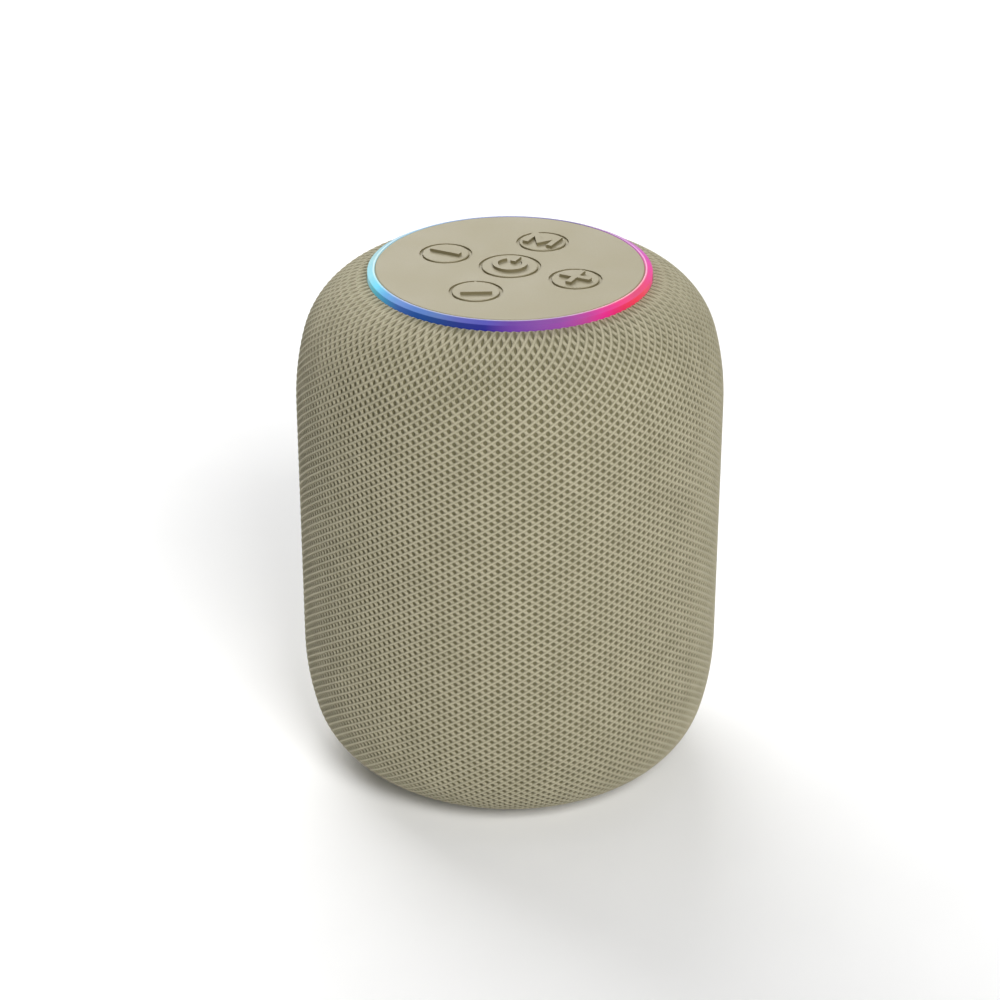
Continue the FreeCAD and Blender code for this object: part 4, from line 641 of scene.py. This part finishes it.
def circuit_board():
    """Green solder mask over copper tracks."""
    shader = Shader("solder_mask", Coat_Weight=0.3)
    brick = shader.node("TexBrick")
    shader.feed(brick.inputs["Vector"], shader.place())
    brick.inputs["Scale"].default_value = 420.0
    brick.inputs["Mortar Size"].default_value = 0.03
    brick.inputs["Color1"].default_value = srgb(18, 74, 44)
    brick.inputs["Color2"].default_value = srgb(22, 84, 50)
    brick.inputs["Mortar"].default_value = srgb(58, 122, 74)
    shader.set("Base Color", brick.outputs[0])
    shader.set("Roughness", shader.span(shader.noise(500.0), 0.3, 0.7, 0.35, 0.5))
    shader.bump(brick.outputs[1], 0.01 * MM)
    return shader.material


def paper_cone():
    """Pressed paper pulp with its fibres."""
    shader = Shader("paper_cone")
    fibre = shader.noise(1500.0, 6.0, rough=0.75)
    shader.set("Base Color", shader.ramp(fibre, (0.3, srgb(38, 37, 35)), (0.7, srgb(62, 60, 57))))
    shader.set("Roughness", shader.span(fibre, 0.3, 0.7, 0.8, 0.95))
    shader.bump(fibre, 0.05 * MM)
    return shader.material


def printed_wrap():
    """The shrink wrap of a cell."""
    shader = Shader("cell_wrap", Coat_Weight=0.4, Coat_Roughness=0.2)
    fold = shader.noise(60.0, 4.0)
    shader.set("Base Color", shader.ramp(fold, (0.3, srgb(52, 104, 150)), (0.7, srgb(66, 124, 172))))
    shader.set("Roughness", shader.span(fold, 0.3, 0.7, 0.3, 0.42))
    shader.bump(fold, 0.1 * MM, 0.4)
    return shader.material


def ribbon_film():
    """Amber polyimide film with its tracks showing through."""
    shader = Shader("ribbon_film", Coat_Weight=0.5)
    wave = shader.node("TexWave", bands_direction="X")
    shader.feed(wave.inputs["Vector"], shader.place())
    wave.inputs["Scale"].default_value = 330.0
    shader.set("Base Color", shader.ramp(wave.outputs["Fac"], (0.4, srgb(196, 122, 36)),
                                         (0.6, srgb(150, 84, 24))))
    shader.set("Roughness", shader.span(shader.noise(300.0), 0.3, 0.7, 0.25, 0.4))
    return shader.material


TOP = srgb(157, 149, 122)              # plate and keys
TOP_WALL_SHADE = srgb(126, 117, 86)         # painted shade on the upright faces of their signs and gaps
MATERIALS = {
    "plate": moulded("plate_plastic", TOP, 0.62, depth=0.012 * MM, spread=0.035, walls=TOP_WALL_SHADE),
    "key": moulded("key_plastic", TOP, 0.62, depth=0.012 * MM, spread=0.035, walls=TOP_WALL_SHADE),
    "ring": ring_glow(),
    "cage": moulded("cage_plastic", srgb(66, 64, 56), 0.6),
    "chassis": moulded("chassis_plastic", srgb(52, 52, 52), 0.55),
    "foot": moulded("foot_rubber", srgb(58, 57, 54), 0.85, 1800.0, 0.03 * MM),
    "cover": moulded("cover_plastic", srgb(160, 153, 127), 0.6),
    "steel": metal("zinc_steel", (0.62, 0.62, 0.63), 0.32),
    "board": circuit_board(),
    "chip": moulded("chip_epoxy", srgb(34, 34, 36), 0.5),
    "led": moulded("led_lens", srgb(236, 234, 220), 0.25, Coat_Weight=0.3),
    "basket": moulded("basket_paint", srgb(44, 44, 45), 0.45, 1500.0, 0.03 * MM),
    "ferrite": moulded("ferrite_ceramic", srgb(60, 60, 63), 0.55, 3000.0, 0.02 * MM, 0.12),
    "cone": paper_cone(),
    "roll": moulded("roll_rubber", srgb(36, 36, 36), 0.7),
    "copper": metal("copper_wire", (0.80, 0.42, 0.26), 0.3, (1, 1, 40)),
    "cell": printed_wrap(),
    "lead": moulded("lead_insulation", srgb(150, 26, 24), 0.4),
    "panel": moulded("panel_plastic", srgb(50, 49, 46), 0.5),
    "film": ribbon_film(),
}
YARN_MATERIAL = yarn("knitted_yarn")
MATERIALS["knit"] = YARN_MATERIAL


# ---------------------------------------------------------------- pieces

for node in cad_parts.values():
    for slot in node.material_slots:
        slot.material = MATERIALS[slot.material.name]

hem = port_hem()
backing = backing_sheet()
bands = knitted_net()
hem.data.materials.append(YARN_MATERIAL)
backing.data.materials.append(scrim())
for band, length in bands:
    band.data.materials.append(YARN_MATERIAL)
    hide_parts("fabric_sleeve")
for piece in [hem, backing] + [band for band, _ in bands]:
    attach(piece, "body")


def soft_roll(node):
    """A rubber surround as a piece of its own, on the body."""
    piece = bpy.data.objects.new(node + "_roll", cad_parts[node].data.copy())
    bpy.context.scene.collection.objects.link(piece)
    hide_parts(node)
    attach(piece, "body")
    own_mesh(piece)


soft_roll("driver_surround")
soft_roll("radiator_surround")


# ---------------------------------------------------------------- floor, light and camera

FLOOR_REACH = 3.0         # to each side, to the front and to the curve at the back, in metres
FLOOR_CURVE = 1.5         # radius of that curve
FLOOR_STEPS = 24
FLOOR_GLOW = 0.06
WORLD_LIGHT = 0.02


def floor():
    """A plain pale studio floor, gently curved up far behind the object."""
    profile = [(-FLOOR_REACH, 0.0), (0.0, 0.0), (FLOOR_REACH, 0.0)]
    profile += [(FLOOR_REACH + FLOOR_CURVE * math.sin(t), FLOOR_CURVE * (1 - math.cos(t)))
                for t in np.linspace(0, math.pi / 2, FLOOR_STEPS)[1:]]
    points = [(x, y, z) for y, z in profile for x in (-FLOOR_REACH, FLOOR_REACH)]
    faces = [(2 * i, 2 * i + 1, 2 * i + 3, 2 * i + 2) for i in range(len(profile) - 1)]
    sheet = new_mesh("floor", np.array(points), np.array(faces))
    shader = Shader("floor_paper", Roughness=0.9)
    tone = shader.noise(40.0, 3.0)
    shader.set("Base Color", shader.ramp(tone, (0.3, grey(0.93)), (0.7, grey(0.95))))
    shader.surface.inputs["Emission Color"].default_value = grey(1.0)
    shader.surface.inputs["Emission Strength"].default_value = FLOOR_GLOW
    sheet.data.materials.append(shader.material)


def lamp(name, place, size, power, target):
    """A soft rectangular lamp that faces a point."""
    light = bpy.data.lights.new(name, "AREA")
    light.shape = "RECTANGLE"
    light.size, light.size_y = size
    light.energy = power
    item = bpy.data.objects.new(name, light)
    item.location = place
    item.rotation_euler = (Vector(target) - Vector(place)).to_track_quat("-Z", "Y").to_euler()
    bpy.context.scene.collection.objects.link(item)


floor()
middle = (0, 0, SLEEVE_MID)
lamp("key_light", (0.34, -0.92, 0.84), (0.5, 0.5), 12.8, middle)
lamp("top_light", (0.0, 0.4, 1.4), (1.4, 1.4), 4.2, middle)
lamp("back_light", (-0.36, 0.94, 0.8), (1.2, 0.6), 14.5, middle)
world = bpy.data.worlds.new("studio")
world.use_nodes = True
world.node_tree.nodes["Background"].inputs[0].default_value = grey(1.0)
world.node_tree.nodes["Background"].inputs[1].default_value = WORLD_LIGHT
bpy.context.scene.world = world

CAMERA_RISE = math.radians(27.3)       # the camera looks down by this much
CAMERA_DISTANCE = 649.6 * MM
CAMERA_LENS = 97.74                    # mm, on a sensor 36 mm wide
SENSOR_WIDTH = 36.0
aim = Vector((-2.28 * MM, 0.0, 65.73 * MM))
camera = bpy.data.objects.new("camera", bpy.data.cameras.new("camera"))
camera.data.lens = CAMERA_LENS
camera.data.sensor_width = SENSOR_WIDTH
camera.data.clip_end = 20.0
camera.location = aim + CAMERA_DISTANCE * Vector((0, -math.cos(CAMERA_RISE), math.sin(CAMERA_RISE)))
camera.rotation_euler = (math.pi / 2 - CAMERA_RISE, 0, 0)
bpy.context.scene.collection.objects.link(camera)
bpy.context.scene.camera = camera

bpy.context.view_layer.update()
